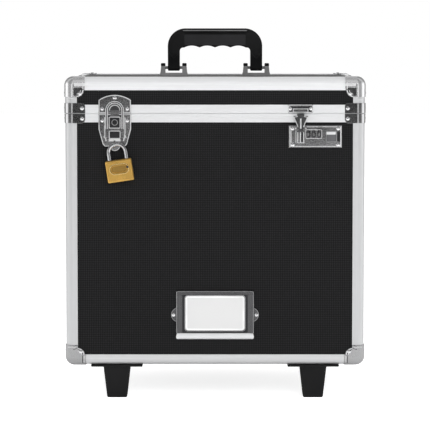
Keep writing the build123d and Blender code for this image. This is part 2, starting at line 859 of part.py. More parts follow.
def wheel_axle():
    """Axle with a head outside each cheek."""
    y = rear_y - wheel_setback
    outer = wheel_width / 2 + hub_boss_height + wheel_side_clearance + bracket_sheet
    shaft = rod_x(-outer, outer, y, wheel_radius, axle_radius)
    heads = both_sides(rod_x(outer, outer + axle_head_height, y, wheel_radius, axle_head_radius))
    return shaft + heads[0] + heads[1]


def wheel_tyre():
    """Rubber tyre with rounded shoulders."""
    y = rear_y - wheel_setback
    tyre = rod_x(-wheel_width / 2, wheel_width / 2, y, wheel_radius, wheel_radius)
    tyre = fillet(tyre.edges().filter_by(GeomType.CIRCLE), tyre_round)
    return tyre - rod_x(-wheel_width, wheel_width, y, wheel_radius, wheel_radius - tyre_thickness)


def wheel_hub():
    """Hub with a boss each side and a running bore."""
    y = rear_y - wheel_setback
    half = wheel_width / 2
    rim = wheel_radius - tyre_thickness
    hub = rod_x(-half, half, y, wheel_radius, rim)
    floor = half - hub_dish_depth
    dish = rod_x(floor, half + overcut, y, wheel_radius, rim - hub_rim_wall)
    dish = dish - rod_x(floor - overcut, half + 2 * overcut, y, wheel_radius, hub_boss_radius)
    for recess in both_sides(dish):
        hub = hub - recess
    hub = hub + rod_x(-half - hub_boss_height, half + hub_boss_height, y, wheel_radius, hub_boss_radius)
    return hub - rod_x(-wheel_width, wheel_width, y, wheel_radius, axle_radius + running_clearance)


def make_running_gear():
    """Write the feet, the wheels and what carries them."""
    foot_holes = single(foot_seats, rivet_hole)
    wheel_holes = single(wheel_seats, rivet_hole)
    foot_places = [Pos(side * foot_x, 0, 0) for side in (-1, 1)]
    save("front_feet", [place * foot() - foot_holes for place in foot_places])
    wheel_places = [Pos(side * wheel_x, 0, 0) for side in (-1, 1)]
    save("wheel_brackets", [place * wheel_bracket() - wheel_holes for place in wheel_places])
    save("wheel_axles", [place * wheel_axle() for place in wheel_places])
    for place, name in zip(wheel_places, ("left", "right")):
        save(f"wheel_{name}_tyre", place * wheel_tyre())
        save(f"wheel_{name}_hub", place * wheel_hub())


def make_file_rails():
    """Write the two hanging file rails and their clips."""
    top = seam_z - rim_band - rail_top_below_rim
    bottom = top - rail_height
    end = half_width - inner_face - rail_end_gap
    wall = front_y + inner_skin
    near = wall + rail_wall_gap
    rail = block(-end, end, near, near + rail_thickness, bottom, top)
    clips = []
    for step in (-1, 0, 1):
        x = step * (half_width - rail_clip_inset)
        half = rail_clip_width / 2
        back = block(x - half, x + half, wall, wall + rail_clip_sheet, bottom - rail_clip_sheet, top)
        arm_end = near + rail_thickness + rail_clip_sheet
        arm = block(x - half, x + half, wall, arm_end, bottom - rail_clip_sheet, bottom)
        lip = block(x - half, x + half, near + rail_thickness, arm_end, bottom, bottom + rail_height / 3)
        clips.append(back + arm + lip)
    middle = Plane.XZ.offset(-case_center_y)
    save("file_rails", [rail, mirror(rail, about=middle)])
    save("file_rail_clips", clips + [mirror(clip, about=middle) for clip in clips])


def make_label():
    """Write the label holder and its card."""
    outline = RectangleRounded(label_width, label_height, label_corner_round)
    outline = Pos(0, label_bottom + label_height / 2) * outline
    window = RectangleRounded(label_window_width, label_window_height, label_window_round)
    window = Pos(0, label_window_bottom + label_window_height / 2) * window
    face = panel_front_y - label_thickness
    frame = front_prism(outline, face, panel_front_y)
    frame = chamfer(frame.faces().sort_by(Axis.Y)[0].edges(), label_bevel)
    reach = label_width / 2 + label_ear_reach
    for side in (-1, 1):
        ear = Pos(side * (reach - label_ear_radius), label_ear_height) * Circle(label_ear_radius)
        frame = frame + front_prism(ear, label_ear_face, panel_front_y)
    card_bottom = label_window_bottom - card_overlap
    pocket_half = card_width / 2 + card_clearance
    pocket = block(-pocket_half, pocket_half, panel_front_y - card_thickness - 2 * card_clearance,
                   panel_front_y, card_bottom - card_clearance, label_bottom + label_height + overcut)
    frame = frame - front_prism(window, face - overcut, panel_front_y) - pocket
    card_back = panel_front_y - card_clearance
    card = block(-card_width / 2, card_width / 2, card_back - card_thickness, card_back, card_bottom,
                 card_bottom + card_height)
    save("label_frame", frame - single(label_seats, rivet_hole))
    save("label_card", card)


def carry_handle():
    """U-shaped carry handle with finger scallops and rounded sides."""
    half = handle_pin_spacing / 2 + handle_leg_width / 2
    inner_half = half - handle_leg_width
    pin_z = case_top + bracket_pin_height
    foot_z = pin_z - handle_leg_foot
    top = case_top + handle_top
    grip_under = top - handle_grip_height
    outer = Pos(0, (foot_z + top) / 2) * Rectangle(2 * half, top - foot_z)
    outer = fillet(outer.vertices().group_by(Axis.Y)[-1], handle_outer_round)
    gap_low = foot_z - overcut
    inner = Pos(0, (gap_low + grip_under) / 2) * Rectangle(2 * inner_half, grip_under - gap_low)
    inner = fillet(inner.vertices().group_by(Axis.Y)[-1], handle_inner_round)
    outline = outer - inner
    scallop_radius = (scallop_pitch ** 2 / 4 + scallop_depth ** 2) / (2 * scallop_depth)
    for index in range(scallop_count):
        x = (index - (scallop_count - 1) / 2) * scallop_pitch
        finger = Pos(x, grip_under + scallop_depth - scallop_radius) * Circle(scallop_radius)
        strip = Pos(x, grip_under) * Rectangle(scallop_pitch, 2 * scallop_depth)
        outline = outline - (finger & strip)
    half_depth = handle_depth / 2
    y = case_center_y
    body = front_prism(outline, y - half_depth, y + half_depth)
    taper_low = pin_z + handle_taper_low
    taper_high = pin_z + handle_taper_high
    foot_half = handle_foot_depth / 2
    profile = polygon((y - foot_half, foot_z), (y - foot_half, taper_low), (y - half_depth, taper_high),
                      (y - half_depth, top), (y + half_depth, top), (y + half_depth, taper_high),
                      (y + foot_half, taper_low), (y + foot_half, foot_z))
    profile = fillet(profile.vertices().group_by(Axis.Y)[-1], handle_crown_round)
    profile = fillet(profile.vertices().group_by(Axis.Y)[0], handle_edge_round)
    body = body & side_prism(profile, -half - overcut, half + overcut)
    return body - rod_x(-half - overcut, half + overcut, y, pin_z, handle_pin_radius + running_clearance)


def handle_bracket():
    """Fixed bracket with two posts that the handle leg swings between."""
    pin_z = case_top + bracket_pin_height
    seat = case_top - flange
    floor_top = case_top + bracket_floor
    post_top = case_top + bracket_height - bracket_cap_height
    lean = (bracket_base_width - bracket_top_width) / 2
    slope = lean * (post_top - seat) / (case_top + bracket_height - seat)
    half = bracket_base_width / 2
    post_outline = polygon((half - bracket_post, seat), (half, seat), (half - slope, post_top),
                           (half - bracket_post, post_top))
    y = case_center_y
    post = front_prism(post_outline, y - bracket_depth / 2, y + bracket_depth / 2)
    posts = both_sides(post)
    floor_plate = block(-half, half, y - bracket_depth / 2, y + bracket_depth / 2, seat, floor_top)
    bore = rod_x(-half, half, y, pin_z, handle_pin_radius)
    return floor_plate + posts[0] + posts[1] - bore


def handle_caps():
    """Two caps on the posts of one bracket."""
    top = case_top + bracket_height
    bottom = top - bracket_cap_height
    outer = bracket_base_width / 2 - bracket_cap_inset
    inner = bracket_base_width / 2 - bracket_post
    y = case_center_y
    cap = block(inner, outer, y - bracket_depth / 2, y + bracket_depth / 2, bottom, top)
    cap = fillet(cap.faces().sort_by(Axis.Z)[-1].edges(), bracket_cap_round)
    return both_sides(cap)


def make_handle():
    """Write the carry handle and its brackets."""
    holes = [rivet_hole(*seat, handle_rivet_grip) for seat in handle_seats]
    places = [Pos(side * handle_pin_spacing / 2, 0, 0) for side in (-1, 1)]
    save("handle_brackets", [place * handle_bracket() - holes for place in places])
    save("handle_bracket_caps", [place * cap for place in places for cap in handle_caps()])
    half = bracket_base_width / 2 - handle_pin_inset
    pin = rod_x(-half, half, case_center_y, case_top + bracket_pin_height, handle_pin_radius)
    save("handle_pins", [place * pin for place in places])
    save("carry_handle", carry_handle())


# Pull handle tube sizes follow each other inward.
pull_y = rear_y + pull_tube_offset
middle_radius = pull_outer_radius - pull_wall - pull_stage_clearance
inner_radius = middle_radius - pull_wall - pull_stage_clearance
pull_bezel_top = pull_bezel_bottom + pull_bezel_height
middle_collar_low = pull_bezel_top + pull_seat_gap
grip_leg_low = middle_collar_low + pull_collar_height + pull_seat_gap
grip_low = pull_bezel_top + pull_finger_gap
grip_high = grip_low + pull_grip_height


def tube(x, low, high, outer, inner):
    """Upright round tube of the pull handle."""
    return rod_z(x, pull_y, low, high, outer) - rod_z(x, pull_y, low - overcut, high + overcut, inner)


def pull_cross_bar(low, high):
    """Moulded bar across both tubes, against the rear panel."""
    half = pull_spacing / 2 + pull_bracket_overhang
    bar = block(-half, half, panel_rear_y, panel_rear_y + pull_bracket_depth + flange, low, high)
    edges = bar.edges().filter_by(Axis.Z).group_by(Axis.Y)[-1]
    return fillet(edges, pull_grip_round)


def pull_grip():
    """U-shaped grip that joins the two inner tubes, with a pocket for its button."""
    half = pull_spacing / 2 + inner_radius + pull_grip_end
    depth = pull_grip_depth / 2
    bar = block(-half, half, pull_y - depth, pull_y + depth, grip_low, grip_high)
    bar = fillet(bar.edges().filter_by(Axis.X), pull_grip_round)
    leg_radius = inner_radius + pull_socket_wall
    legs = both_sides(rod_z(pull_spacing / 2, pull_y, grip_leg_low, grip_low + pull_grip_height / 2,
                            leg_radius))
    grip = bar + legs[0] + legs[1]
    for side in (-1, 1):
        grip = grip - rod_z(side * pull_spacing / 2, pull_y, grip_leg_low - overcut,
                            grip_low + pull_socket_depth, inner_radius)
    half_length = pull_button_length / 2 + pull_button_clearance
    half_button = pull_button_width / 2 + pull_button_clearance
    button_low = grip_high + pull_button_proud - pull_button_height
    pocket_low = button_low - pull_button_travel - pull_button_clearance
    return grip - block(-half_length, half_length, pull_y - half_button, pull_y + half_button, pocket_low,
                        grip_high + overcut)


def make_pull_handle():
    """Write the telescopic pull handle."""
    xs = [side * pull_spacing / 2 for side in (-1, 1)]
    outer_top = pull_bezel_top - pull_bezel_lip
    outer_bore = pull_outer_radius - pull_wall
    lower = pull_cross_bar(pull_bracket_bottom, pull_bracket_bottom + pull_bracket_height)
    upper = pull_cross_bar(pull_bezel_bottom, pull_bezel_top)
    for x in xs:
        socket = rod_z(x, pull_y, pull_tube_bottom, outer_top, pull_outer_radius)
        lower = lower - socket
        upper = upper - socket - rod_z(x, pull_y, outer_top - overcut, pull_bezel_top + overcut, outer_bore)
    save("pull_tube_brackets", [lower, upper])
    save("pull_outer_tubes", [tube(x, pull_tube_bottom, outer_top, pull_outer_radius, outer_bore)
                              for x in xs])
    middle_low = pull_tube_bottom + pull_stage_step
    middle_bore = middle_radius - pull_wall
    middle_top = middle_collar_low + pull_collar_height
    middle = []
    for x in xs:
        collar = tube(x, middle_collar_low, middle_top, pull_collar_radius, middle_bore)
        middle.append(tube(x, middle_low, middle_top, middle_radius, middle_bore) + collar)
    save("pull_middle_tubes", middle)
    inner_low = middle_low + pull_stage_step
    inner_bore = inner_radius - pull_inner_wall
    save("pull_inner_tubes", [tube(x, inner_low, grip_low + pull_socket_depth, inner_radius, inner_bore)
                              for x in xs])
    save("pull_grip", pull_grip())
    button_top = grip_high + pull_button_proud
    button = block(-pull_button_length / 2, pull_button_length / 2, pull_y - pull_button_width / 2,
                   pull_y + pull_button_width / 2, button_top - pull_button_height, button_top)
    save("pull_button", fillet(button.faces().sort_by(Axis.Z)[-1].edges(), pull_button_round))


def padded_plate(outline, band_edge, up):
    """Latch plate that lies on the rim extrusion and steps down onto the panel beyond it."""
    plate = front_prism(outline, hasp_face_y, front_y)
    pad = front_prism(outline, front_y, panel_front_y)
    reach = case_width
    beyond = band_edge + up * reach
    return plate + (pad & block(-reach, reach, -reach, reach, min(band_edge, beyond),
                                max(band_edge, beyond)))


def hasp_strike():
    """Lid plate of the hasp latch with its raised keeper."""
    half = hasp_strike_width / 2
    low = lid_bottom + strike_seam_gap
    shoulder = seam_z + hasp_strike_shoulder
    arch = seam_z + hasp_strike_arch
    sides = Polyline((half, shoulder), (half, low), (-half, low), (-half, shoulder))
    crown = ThreePointArc((-half, shoulder), (0, arch), (half, shoulder))
    plate = Pos(hasp_x, 0) * make_face([sides, crown])
    piece = padded_plate(plate, seam_z + rim_band, 1)
    keeper_z = seam_z + keeper_rise
    keeper = Circle(keeper_radius) & Pos(0, keeper_radius / 2) * Rectangle(2 * keeper_radius, keeper_radius)
    keeper = front_prism(Pos(hasp_x, keeper_z) * keeper, hasp_face_y - keeper_height, hasp_face_y)
    keeper = chamfer(keeper.faces().sort_by(Axis.Y)[0].edges(), keeper_bevel)
    return piece + keeper


def hasp_base():
    """Body plate of the hasp latch with the two lugs of the lever's pivot."""
    half = hasp_base_width / 2
    tip = hasp_base_tip_width / 2
    high = body_top - hasp_base_seam_gap
    waist = seam_z - hasp_base_waist
    drop = seam_z - hasp_base_drop
    sides = Polyline((tip, waist), (half, seam_z - hasp_base_shoulder), (half, high), (-half, high),
                     (-half, seam_z - hasp_base_shoulder), (-tip, waist))
    end = ThreePointArc((-tip, waist), (0, drop), (tip, waist))
    piece = padded_plate(Pos(hasp_x, 0) * make_face([sides, end]), seam_z - rim_band, -1)
    inner = hasp_barrel_width / 2 + latch_gap
    root_low = (hasp_face_y, hasp_pivot_z - hasp_lug_root_low)
    root_high = (hasp_face_y, hasp_pivot_z - hasp_lug_root_high)
    chin = (hasp_pivot_y - hasp_lug_chin_out, hasp_pivot_z - hasp_lug_chin_drop)
    lug_outline = polygon(root_low, root_high, (hasp_pivot_y, hasp_pivot_z), chin)
    lug_outline = lug_outline + Pos(hasp_pivot_y, hasp_pivot_z) * Circle(latch_lug_radius)
    lugs = both_sides(side_prism(lug_outline, inner, inner + hasp_lug_width))
    piece = piece + Pos(hasp_x, 0, 0) * (lugs[0] + lugs[1])
    return piece - rod_x(hasp_x - half, hasp_x + half, hasp_pivot_y, hasp_pivot_z, latch_pin_radius)


def hasp_lever():
    """Locking lever with its barrel, key window, thumb pocket, tab and padlock eye."""
    back = hasp_pivot_y + hasp_lever_thickness / 2
    front = hasp_pivot_y - hasp_lever_thickness / 2
    half = hasp_lever_width / 2
    shoulder = hasp_pivot_z - hasp_lever_top_drop
    bar_low = hasp_pivot_z - hasp_lever_drop
    tab_center = hasp_pivot_z - hasp_tab_drop + hasp_tab_width / 2
    plate = Pos(0, (shoulder + bar_low) / 2) * Rectangle(2 * half, shoulder - bar_low)
    tab = Pos(0, (bar_low + tab_center) / 2) * Rectangle(hasp_tab_width, bar_low - tab_center)
    tab = tab + Pos(0, tab_center) * Circle(hasp_tab_width / 2)
    barrel_half = hasp_barrel_width / 2
    neck = Pos(0, (shoulder + hasp_pivot_z) / 2) * Rectangle(hasp_barrel_width, hasp_pivot_z - shoulder)
    lever = front_prism(plate + tab + neck, front, back)
    lever = lever + rod_x(-barrel_half, barrel_half, hasp_pivot_y, hasp_pivot_z, hasp_lever_thickness / 2)
    lever = lever - rod_x(-half, half, hasp_pivot_y, hasp_pivot_z, latch_pin_radius + running_clearance)
    key_z = hasp_pivot_z - key_drop
    window = Pos(0, key_z) * Rectangle(key_window_width, key_window_height)
    lever = lever - front_prism(window, front - overcut, front + key_window_depth)
    lever = lever - rod_y(0, front - overcut, back + overcut, key_z,
                          key_cylinder_radius + running_clearance)
    pocket_z = hasp_pivot_z - lever_pocket_drop - lever_pocket_height / 2
    pocket = Pos(0, pocket_z) * Rectangle(key_window_width, lever_pocket_height)
    lever = lever - front_prism(pocket, front - overcut, front + 2 * key_window_depth)
    bail_z = hasp_pivot_z - bail_pivot_drop
    lever = lever - rod_x(-half - overcut, half + overcut, bail_y, bail_z,
                          bail_pivot_radius + running_clearance)
    eye_y = front - eye_reach
    eye_z = hasp_pivot_z - eye_drop
    lug_outline = Pos(front - eye_reach / 2, eye_z) * Rectangle(eye_reach, lug_height)
    lug_outline = lug_outline + Pos(eye_y, eye_z) * Circle(lug_height / 2)
    lug = side_prism(lug_outline, -lug_thickness / 2, lug_thickness / 2)
    lug = lug - rod_x(-lug_thickness, lug_thickness, eye_y, eye_z, eye_radius)
    lug = lug - block(-lug_thickness, lug_thickness, front, back, eye_z - lug_height, eye_z + lug_height)
    return Pos(hasp_x, 0, 0) * (lever + lug)


bail_y = hasp_face_y - keeper_height - bail_keeper_gap - bail_thickness / 2


def hasp_bail():
    """Arched bail beside the lever that reaches over the lid's keeper."""
    back = bail_y + bail_thickness / 2
    front = bail_y - bail_thickness / 2
    half = bail_outer_width / 2
    pivot_z = hasp_pivot_z - bail_pivot_drop
    spring_z = seam_z + bail_top - half
    low = pivot_z - bail_foot_drop
    outer = Pos(0, (low + spring_z) / 2) * Rectangle(2 * half, spring_z - low)
    outer = outer + Pos(0, spring_z) * Circle(half)
    inner_half = half - bail_bar
    gap_low = low - overcut
    inner = Pos(0, (gap_low + spring_z) / 2) * Rectangle(2 * inner_half, spring_z - gap_low)
    inner = inner + Pos(0, spring_z) * Circle(inner_half)
    bail = front_prism(outer - inner, front, back)
    stub = rod_x(-bail_stub, bail_stub_overlap, bail_y, pivot_z, bail_pivot_radius)
    for side in (-1, 1):
        bail = bail + Pos(side * inner_half, 0, 0) * (stub if side > 0 else mirror(stub, about=Plane.YZ))
    return Pos(hasp_x, 0, 0) * bail


def hasp_key_cylinder():
    """Lock cylinder in the lever, with its keyhole."""
    back = hasp_pivot_y + hasp_lever_thickness / 2
    front = hasp_pivot_y - hasp_lever_thickness / 2 + key_window_depth - key_cylinder_rise
    key_z = hasp_pivot_z - key_drop
    plug = rod_y(0, front, back, key_z, key_cylinder_radius)
    slot_top = key_z + keyhole_length * keyhole_rise
    slot = block(-keyhole_width / 2, keyhole_width / 2, front - overcut, front + keyhole_depth,
                 slot_top - keyhole_length, slot_top)
    round_hole = rod_y(0, front - overcut, front + keyhole_depth, slot_top - keyhole_width / 2,
                       keyhole_width)
    return Pos(hasp_x, 0, 0) * (plug - slot - round_hole)


# The padlock is drawn upright about the shackle's wire where it passes the eye, then tilted there.
eye_center_y = hasp_pivot_y - hasp_lever_thickness / 2 - eye_reach
eye_center_z = hasp_pivot_z - eye_drop
wire_radius = shackle_wire / 2
shackle_wire_rise = shackle_rise - wire_radius


def hang(shape):
    """Place a padlock piece, drawn with the top of its shackle's wire at the origin, in the eye."""
    eye_on_arch = Pos(hasp_x, eye_center_y, eye_center_z - shackle_sag)
    turn = shackle_spacing / 2
    below = turn - math.sqrt(turn ** 2 - shackle_contact ** 2)
    return eye_on_arch * Rot(0, -padlock_tilt, 0) * Pos(-shackle_contact, 0, below) * shape


def padlock_shackle():
    """Bent wire shackle with a long and a short leg."""
    half = shackle_spacing / 2
    turn = half
    case_top_z = -shackle_wire_rise
    long_end = case_top_z - shackle_long_leg
    short_end = case_top_z - shackle_short_leg
    path = Polyline((-half, long_end), (-half, -turn)) + ThreePointArc((-half, -turn), (0, 0),
                                                                       (half, -turn))
    path = path + Line((half, -turn), (half, short_end))
    path = Plane.XZ * path
    profile = Plane(origin=(-half, 0, long_end), z_dir=(0, 0, 1)) * Circle(wire_radius)
    return sweep(profile, path=path)


def padlock_case():
    """Solid brass case with bores for the shackle and the key plug, and a bare plaque."""
    half = padlock_width / 2
    top = -shackle_wire_rise
    bottom = top - padlock_height
    half_y = padlock_thickness / 2
    case = block(-half, half, -half_y, half_y, bottom, top)
    case = fillet(case.edges(), padlock_round)
    bore = wire_radius + shackle_clearance
    left = rod_z(-shackle_spacing / 2, 0, top - shackle_long_leg - shackle_toe_room, top + overcut, bore)
    right = rod_z(shackle_spacing / 2, 0, top - shackle_short_leg - shackle_toe_room, top + overcut, bore)
    plug_end = bottom + padlock_plug_length + padlock_plug_end_room
    plug_bore = rod_z(0, 0, bottom - overcut, plug_end, padlock_plug_radius + running_clearance)
    plaque = Pos(0, bottom + padlock_plaque_rise) * SlotOverall(padlock_plaque_width, padlock_plaque_height)
    recess = front_prism(plaque, -half_y - overcut, -half_y + padlock_plaque_depth)
    return case - left - right - plug_bore - recess


def padlock_plug():
    """Key plug in the bottom of the padlock, with its keyway."""
    bottom = -shackle_wire_rise - padlock_height
    plug = rod_z(0, 0, bottom + padlock_plug_inset, bottom + padlock_plug_length, padlock_plug_radius)
    half_long = padlock_keyway_length / 2
    half_wide = padlock_keyway_width / 2
    return plug - block(-half_long, half_long, -half_wide, half_wide, bottom, bottom + padlock_keyway_depth)


def combo_strike():
    """Lid plate of the combination latch with the raised box that the claw hooks under."""
    half = combo_strike_width / 2
    low = lid_bottom + strike_seam_gap
    high = low + combo_strike_height
    outline = Pos(combo_lever_x, (low + high) / 2) * RectangleRounded(2 * half, high - low,
                                                                      combo_strike_round)
    plate = padded_plate(outline, seam_z + rim_band, 1)
    box_half = combo_strike_box_width / 2
    box = block(combo_lever_x - box_half, combo_lever_x + box_half, hasp_face_y - combo_strike_box_height,
                hasp_face_y, low + combo_strike_box_low, high - combo_strike_box_high)
    return plate + chamfer(box.faces().sort_by(Axis.Y)[0].edges(), combo_strike_bevel)


def dial_x(index):
    """Middle of one number dial."""
    return combo_x + dial_offset + (index - (dial_count - 1) / 2) * dial_pitch


dial_chord = dial_slot_height / 2 - dial_slot_clearance
dial_y = combo_face_y + combo_face_sheet + math.sqrt(dial_radius ** 2 - dial_chord ** 2)
dial_z = combo_z + dial_rise
chamber_low = dial_x(0) - dial_pitch / 2
chamber_high = dial_x(dial_count - 1) + dial_pitch / 2
chamber_half = dial_radius + dial_room
chamber_back = dial_y + dial_radius + dial_back_room


def dial_housing(grow):
    """Box of the dial chamber where it passes through the front panel, grown by a clearance."""
    reach = chamber_half + housing_wall + grow
    back = max(chamber_back + housing_wall, front_y + inner_skin + overcut)
    return block(chamber_low - housing_wall - grow, chamber_high + housing_wall + grow, front_y, back,
                 dial_z - reach, dial_z + reach)


def dial_shaft():
    """Fixed shaft that the dials turn on, seated in both walls of their chamber."""
    return rod_x(chamber_low - dial_shaft_seat, chamber_high + dial_shaft_seat, dial_y, dial_z,
                 dial_shaft_radius)


def combo_plate():
    """Housing of the combination latch: bevelled block, dial chamber, button slot and lever lugs."""
    half_x = combo_width / 2
    half_z = combo_height / 2
    plate = block(combo_x - half_x, combo_x + half_x, combo_face_y, panel_front_y, combo_z - half_z,
                  combo_z + half_z)
    plate = chamfer(plate.faces().sort_by(Axis.Y)[0].edges(), combo_bevel)
    chamber_front = combo_face_y + combo_face_sheet
    plate = plate + dial_housing(0)
    plate = plate - block(chamber_low, chamber_high, chamber_front, chamber_back, dial_z - chamber_half,
                          dial_z + chamber_half)
    for index in range(dial_count):
        half_slot = dial_width / 2 + dial_side_clearance
        x = dial_x(index)
        plate = plate - block(x - half_slot, x + half_slot, combo_face_y - overcut,
                              chamber_front + rivet_clearance, dial_z - dial_slot_height / 2,
                              dial_z + dial_slot_height / 2)
    plate = plate - dial_shaft()
    stem_half = button_stem / 2 + button_stem_clearance
    slot_x = combo_x + button_offset
    plate = plate - block(slot_x - stem_half, slot_x + stem_half + button_travel, combo_face_y - overcut,
                          panel_front_y, combo_z - stem_half, combo_z + stem_half)
    inner = combo_lever_width / 2 + latch_gap
    root_high = combo_pivot_z + combo_lug_root_high
    lug_outline = polygon((combo_face_y, combo_pivot_z - combo_lug_root_low), (combo_face_y, root_high),
                          (combo_pivot_y, root_high), (combo_pivot_y, combo_pivot_z - combo_lug_chin_drop))
    lug_outline = lug_outline + Pos(combo_pivot_y, combo_pivot_z) * Circle(latch_lug_radius)
    lugs = both_sides(side_prism(lug_outline, inner, inner + combo_lug_width))
    plate = plate + Pos(combo_lever_x, 0, 0) * (lugs[0] + lugs[1])
    reach = inner + combo_lug_width + overcut
    return plate - rod_x(combo_lever_x - reach, combo_lever_x + reach, combo_pivot_y, combo_pivot_z,
                         latch_pin_radius)


def combo_lever():
    """Narrow lever with two cheeks at its pivot, so the claw's shank can pass between them."""
    half = combo_lever_width / 2
    back = combo_pivot_y + combo_lever_thickness / 2
    front = combo_pivot_y - combo_lever_thickness / 2
    low = combo_pivot_z - combo_lever_bottom_drop
    bar = block(-half, half, front, back, low, combo_pivot_z)
    bar = bar + rod_x(-half, half, combo_pivot_y, combo_pivot_z, combo_lever_thickness / 2)
    bar = fillet(bar.edges().filter_by(Axis.X).group_by(Axis.Z)[0].sort_by(Axis.Y)[0], combo_lever_round)
    slot_half = half - combo_lever_cheek
    slot = block(-slot_half, slot_half, front - overcut, back + overcut,
                 combo_pivot_z - combo_lever_web_drop, combo_pivot_z + combo_lever_thickness)
    bar = bar - slot
    bar = bar - rod_x(-half - overcut, half + overcut, combo_pivot_y, combo_pivot_z,
                      latch_pin_radius + running_clearance)
    pin_y = combo_pivot_y - combo_claw_pin_out
    pin_z = combo_pivot_z - combo_claw_pin_drop
    bar = bar - rod_x(-half - overcut, half + overcut, pin_y, pin_z, bail_pivot_radius + running_clearance)
    return Pos(combo_lever_x, 0, 0) * bar


def combo_claw():
    """Claw with a narrow shank between the lever's cheeks and a wide head at the seam."""
    pin_y = combo_pivot_y - combo_claw_pin_out
    pin_z = combo_pivot_z - combo_claw_pin_drop
    shank_half = combo_lever_width / 2 - combo_lever_cheek - latch_gap
    neck_z = combo_pivot_z + claw_neck_rise
    head_z = combo_pivot_z + claw_top_rise
    front = pin_y - claw_shank_thickness / 2
    back = pin_y + claw_shank_thickness / 2
    neck_half = combo_lever_width / 2 - claw_neck_inset
    outline = polygon((-shank_half, pin_z), (-shank_half, neck_z), (-neck_half, neck_z),
                      (-claw_top_width / 2, head_z), (claw_top_width / 2, head_z), (neck_half, neck_z),
                      (shank_half, neck_z), (shank_half, pin_z))
    claw = front_prism(outline, front, back)
    claw = claw + rod_x(-shank_half, shank_half, pin_y, pin_z, claw_shank_thickness / 2)
    claw = claw + rod_x(-combo_lever_width / 2, combo_lever_width / 2, pin_y, pin_z, bail_pivot_radius)
    hook_half = claw_hook_width / 2
    hook = block(-hook_half, hook_half, front, hasp_face_y - latch_gap, head_z - claw_hook_lap,
                 combo_pivot_z + claw_hook_rise)
    return Pos(combo_lever_x, 0, 0) * (claw + hook)


def combo_dial(index):
    """Number dial with a flat for each number."""
    x = dial_x(index)
    outline = Pos(dial_y, dial_z) * RegularPolygon(dial_radius, dial_flat_count)
    dial = side_prism(outline, x - dial_width / 2, x + dial_width / 2)
    return dial - rod_x(x - dial_width, x + dial_width, dial_y, dial_z,
                        dial_shaft_radius + running_clearance)


def combo_button():
    """Release button that slides sideways, with its stem in the housing."""
    x = combo_x + button_offset
    back = combo_face_y - latch_gap
    front = back - button_proud
    cap = block(x - button_width / 2, x + button_width / 2, front, back, combo_z - button_height / 2,
                combo_z + button_height / 2)
    cap = chamfer(cap.faces().sort_by(Axis.Y)[0].edges(), button_bevel)
    stem = block(x - button_stem / 2, x + button_stem / 2, back, panel_front_y - button_stem_clearance,
                 combo_z - button_stem / 2, combo_z + button_stem / 2)
    return cap + stem


def latch_pins():
    """Pivot pins of both latches and the shaft of the dials."""
    hasp_half = hasp_barrel_width / 2 + latch_gap + hasp_lug_width
    hasp_pin = rod_x(hasp_x - hasp_half, hasp_x + hasp_half, hasp_pivot_y, hasp_pivot_z, latch_pin_radius)
    outer = combo_lever_width / 2 + latch_gap + combo_lug_width
    inner = combo_lever_width / 2 - combo_lever_cheek + latch_gap
    stub = rod_x(inner, outer, combo_pivot_y, combo_pivot_z, latch_pin_radius)
    stubs = [Pos(combo_lever_x, 0, 0) * piece for piece in both_sides(stub)]
    return [hasp_pin, dial_shaft()] + stubs


def make_latches():
    """Write both latches and the padlock."""
    save("hasp_strike_plate", hasp_strike() - single(hasp_strike_seats, rivet_hole))
    save("hasp_base_plate", hasp_base() - single(hasp_base_seats, rivet_hole))
    save("hasp_lever", hasp_lever())
    save("hasp_bail", hasp_bail())
    save("hasp_key_cylinder", hasp_key_cylinder())
    save("padlock_shackle", hang(padlock_shackle()))
    save("padlock_case", hang(padlock_case()))
    save("padlock_plug", hang(padlock_plug()))
    save("combo_strike", combo_strike() - single(combo_strike_seats, rivet_hole))
    save("combo_plate", combo_plate() - single(combo_seats, rivet_hole))
    save("combo_lever", combo_lever())
    save("combo_claw", combo_claw())
    for index in range(dial_count):
        save(f"combo_dial_{index + 1}", combo_dial(index))
    save("combo_button", combo_button())
    save("latch_pins", latch_pins())


os.makedirs("parts", exist_ok=True)
make_body()
make_lid()
make_hinges()
make_running_gear()
make_file_rails()
make_label()
make_handle()
make_pull_handle()
make_latches()
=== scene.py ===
import json
import math

import bmesh
import bpy
from mathutils import Matrix, Vector


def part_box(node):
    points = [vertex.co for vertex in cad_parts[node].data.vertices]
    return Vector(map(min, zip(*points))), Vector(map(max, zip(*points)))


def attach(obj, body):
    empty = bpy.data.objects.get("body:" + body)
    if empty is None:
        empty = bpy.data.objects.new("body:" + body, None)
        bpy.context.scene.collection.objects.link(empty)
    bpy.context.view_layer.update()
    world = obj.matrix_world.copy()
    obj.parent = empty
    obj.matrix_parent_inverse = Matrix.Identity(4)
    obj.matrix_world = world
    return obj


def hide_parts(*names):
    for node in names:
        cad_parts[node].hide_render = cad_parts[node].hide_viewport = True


bl_info = {
    "name": "Rolling File Box",
    "version": (1, 0, 0),
    "blender": (4, 5, 0),
    "location": "View3D > Sidebar > File Box",
    "description": "Dresses the rolling file box: corners, latches, padlock, handles, wheels and finishes",
    "category": "Object",
}

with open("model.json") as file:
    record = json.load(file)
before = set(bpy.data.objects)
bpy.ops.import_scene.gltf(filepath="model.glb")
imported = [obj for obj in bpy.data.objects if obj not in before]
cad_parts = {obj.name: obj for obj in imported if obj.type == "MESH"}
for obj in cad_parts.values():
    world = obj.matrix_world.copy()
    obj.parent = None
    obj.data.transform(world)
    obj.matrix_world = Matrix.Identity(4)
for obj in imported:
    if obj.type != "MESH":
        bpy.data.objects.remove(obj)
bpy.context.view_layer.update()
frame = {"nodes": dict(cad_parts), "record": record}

MM = 0.001


# Places that the pieces are seated on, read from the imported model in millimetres
def node_box(name):
    """Lowest and highest corner of a node at rest, in millimetres."""
    low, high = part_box(name)
    return Vector(low) / MM, Vector(high) / MM


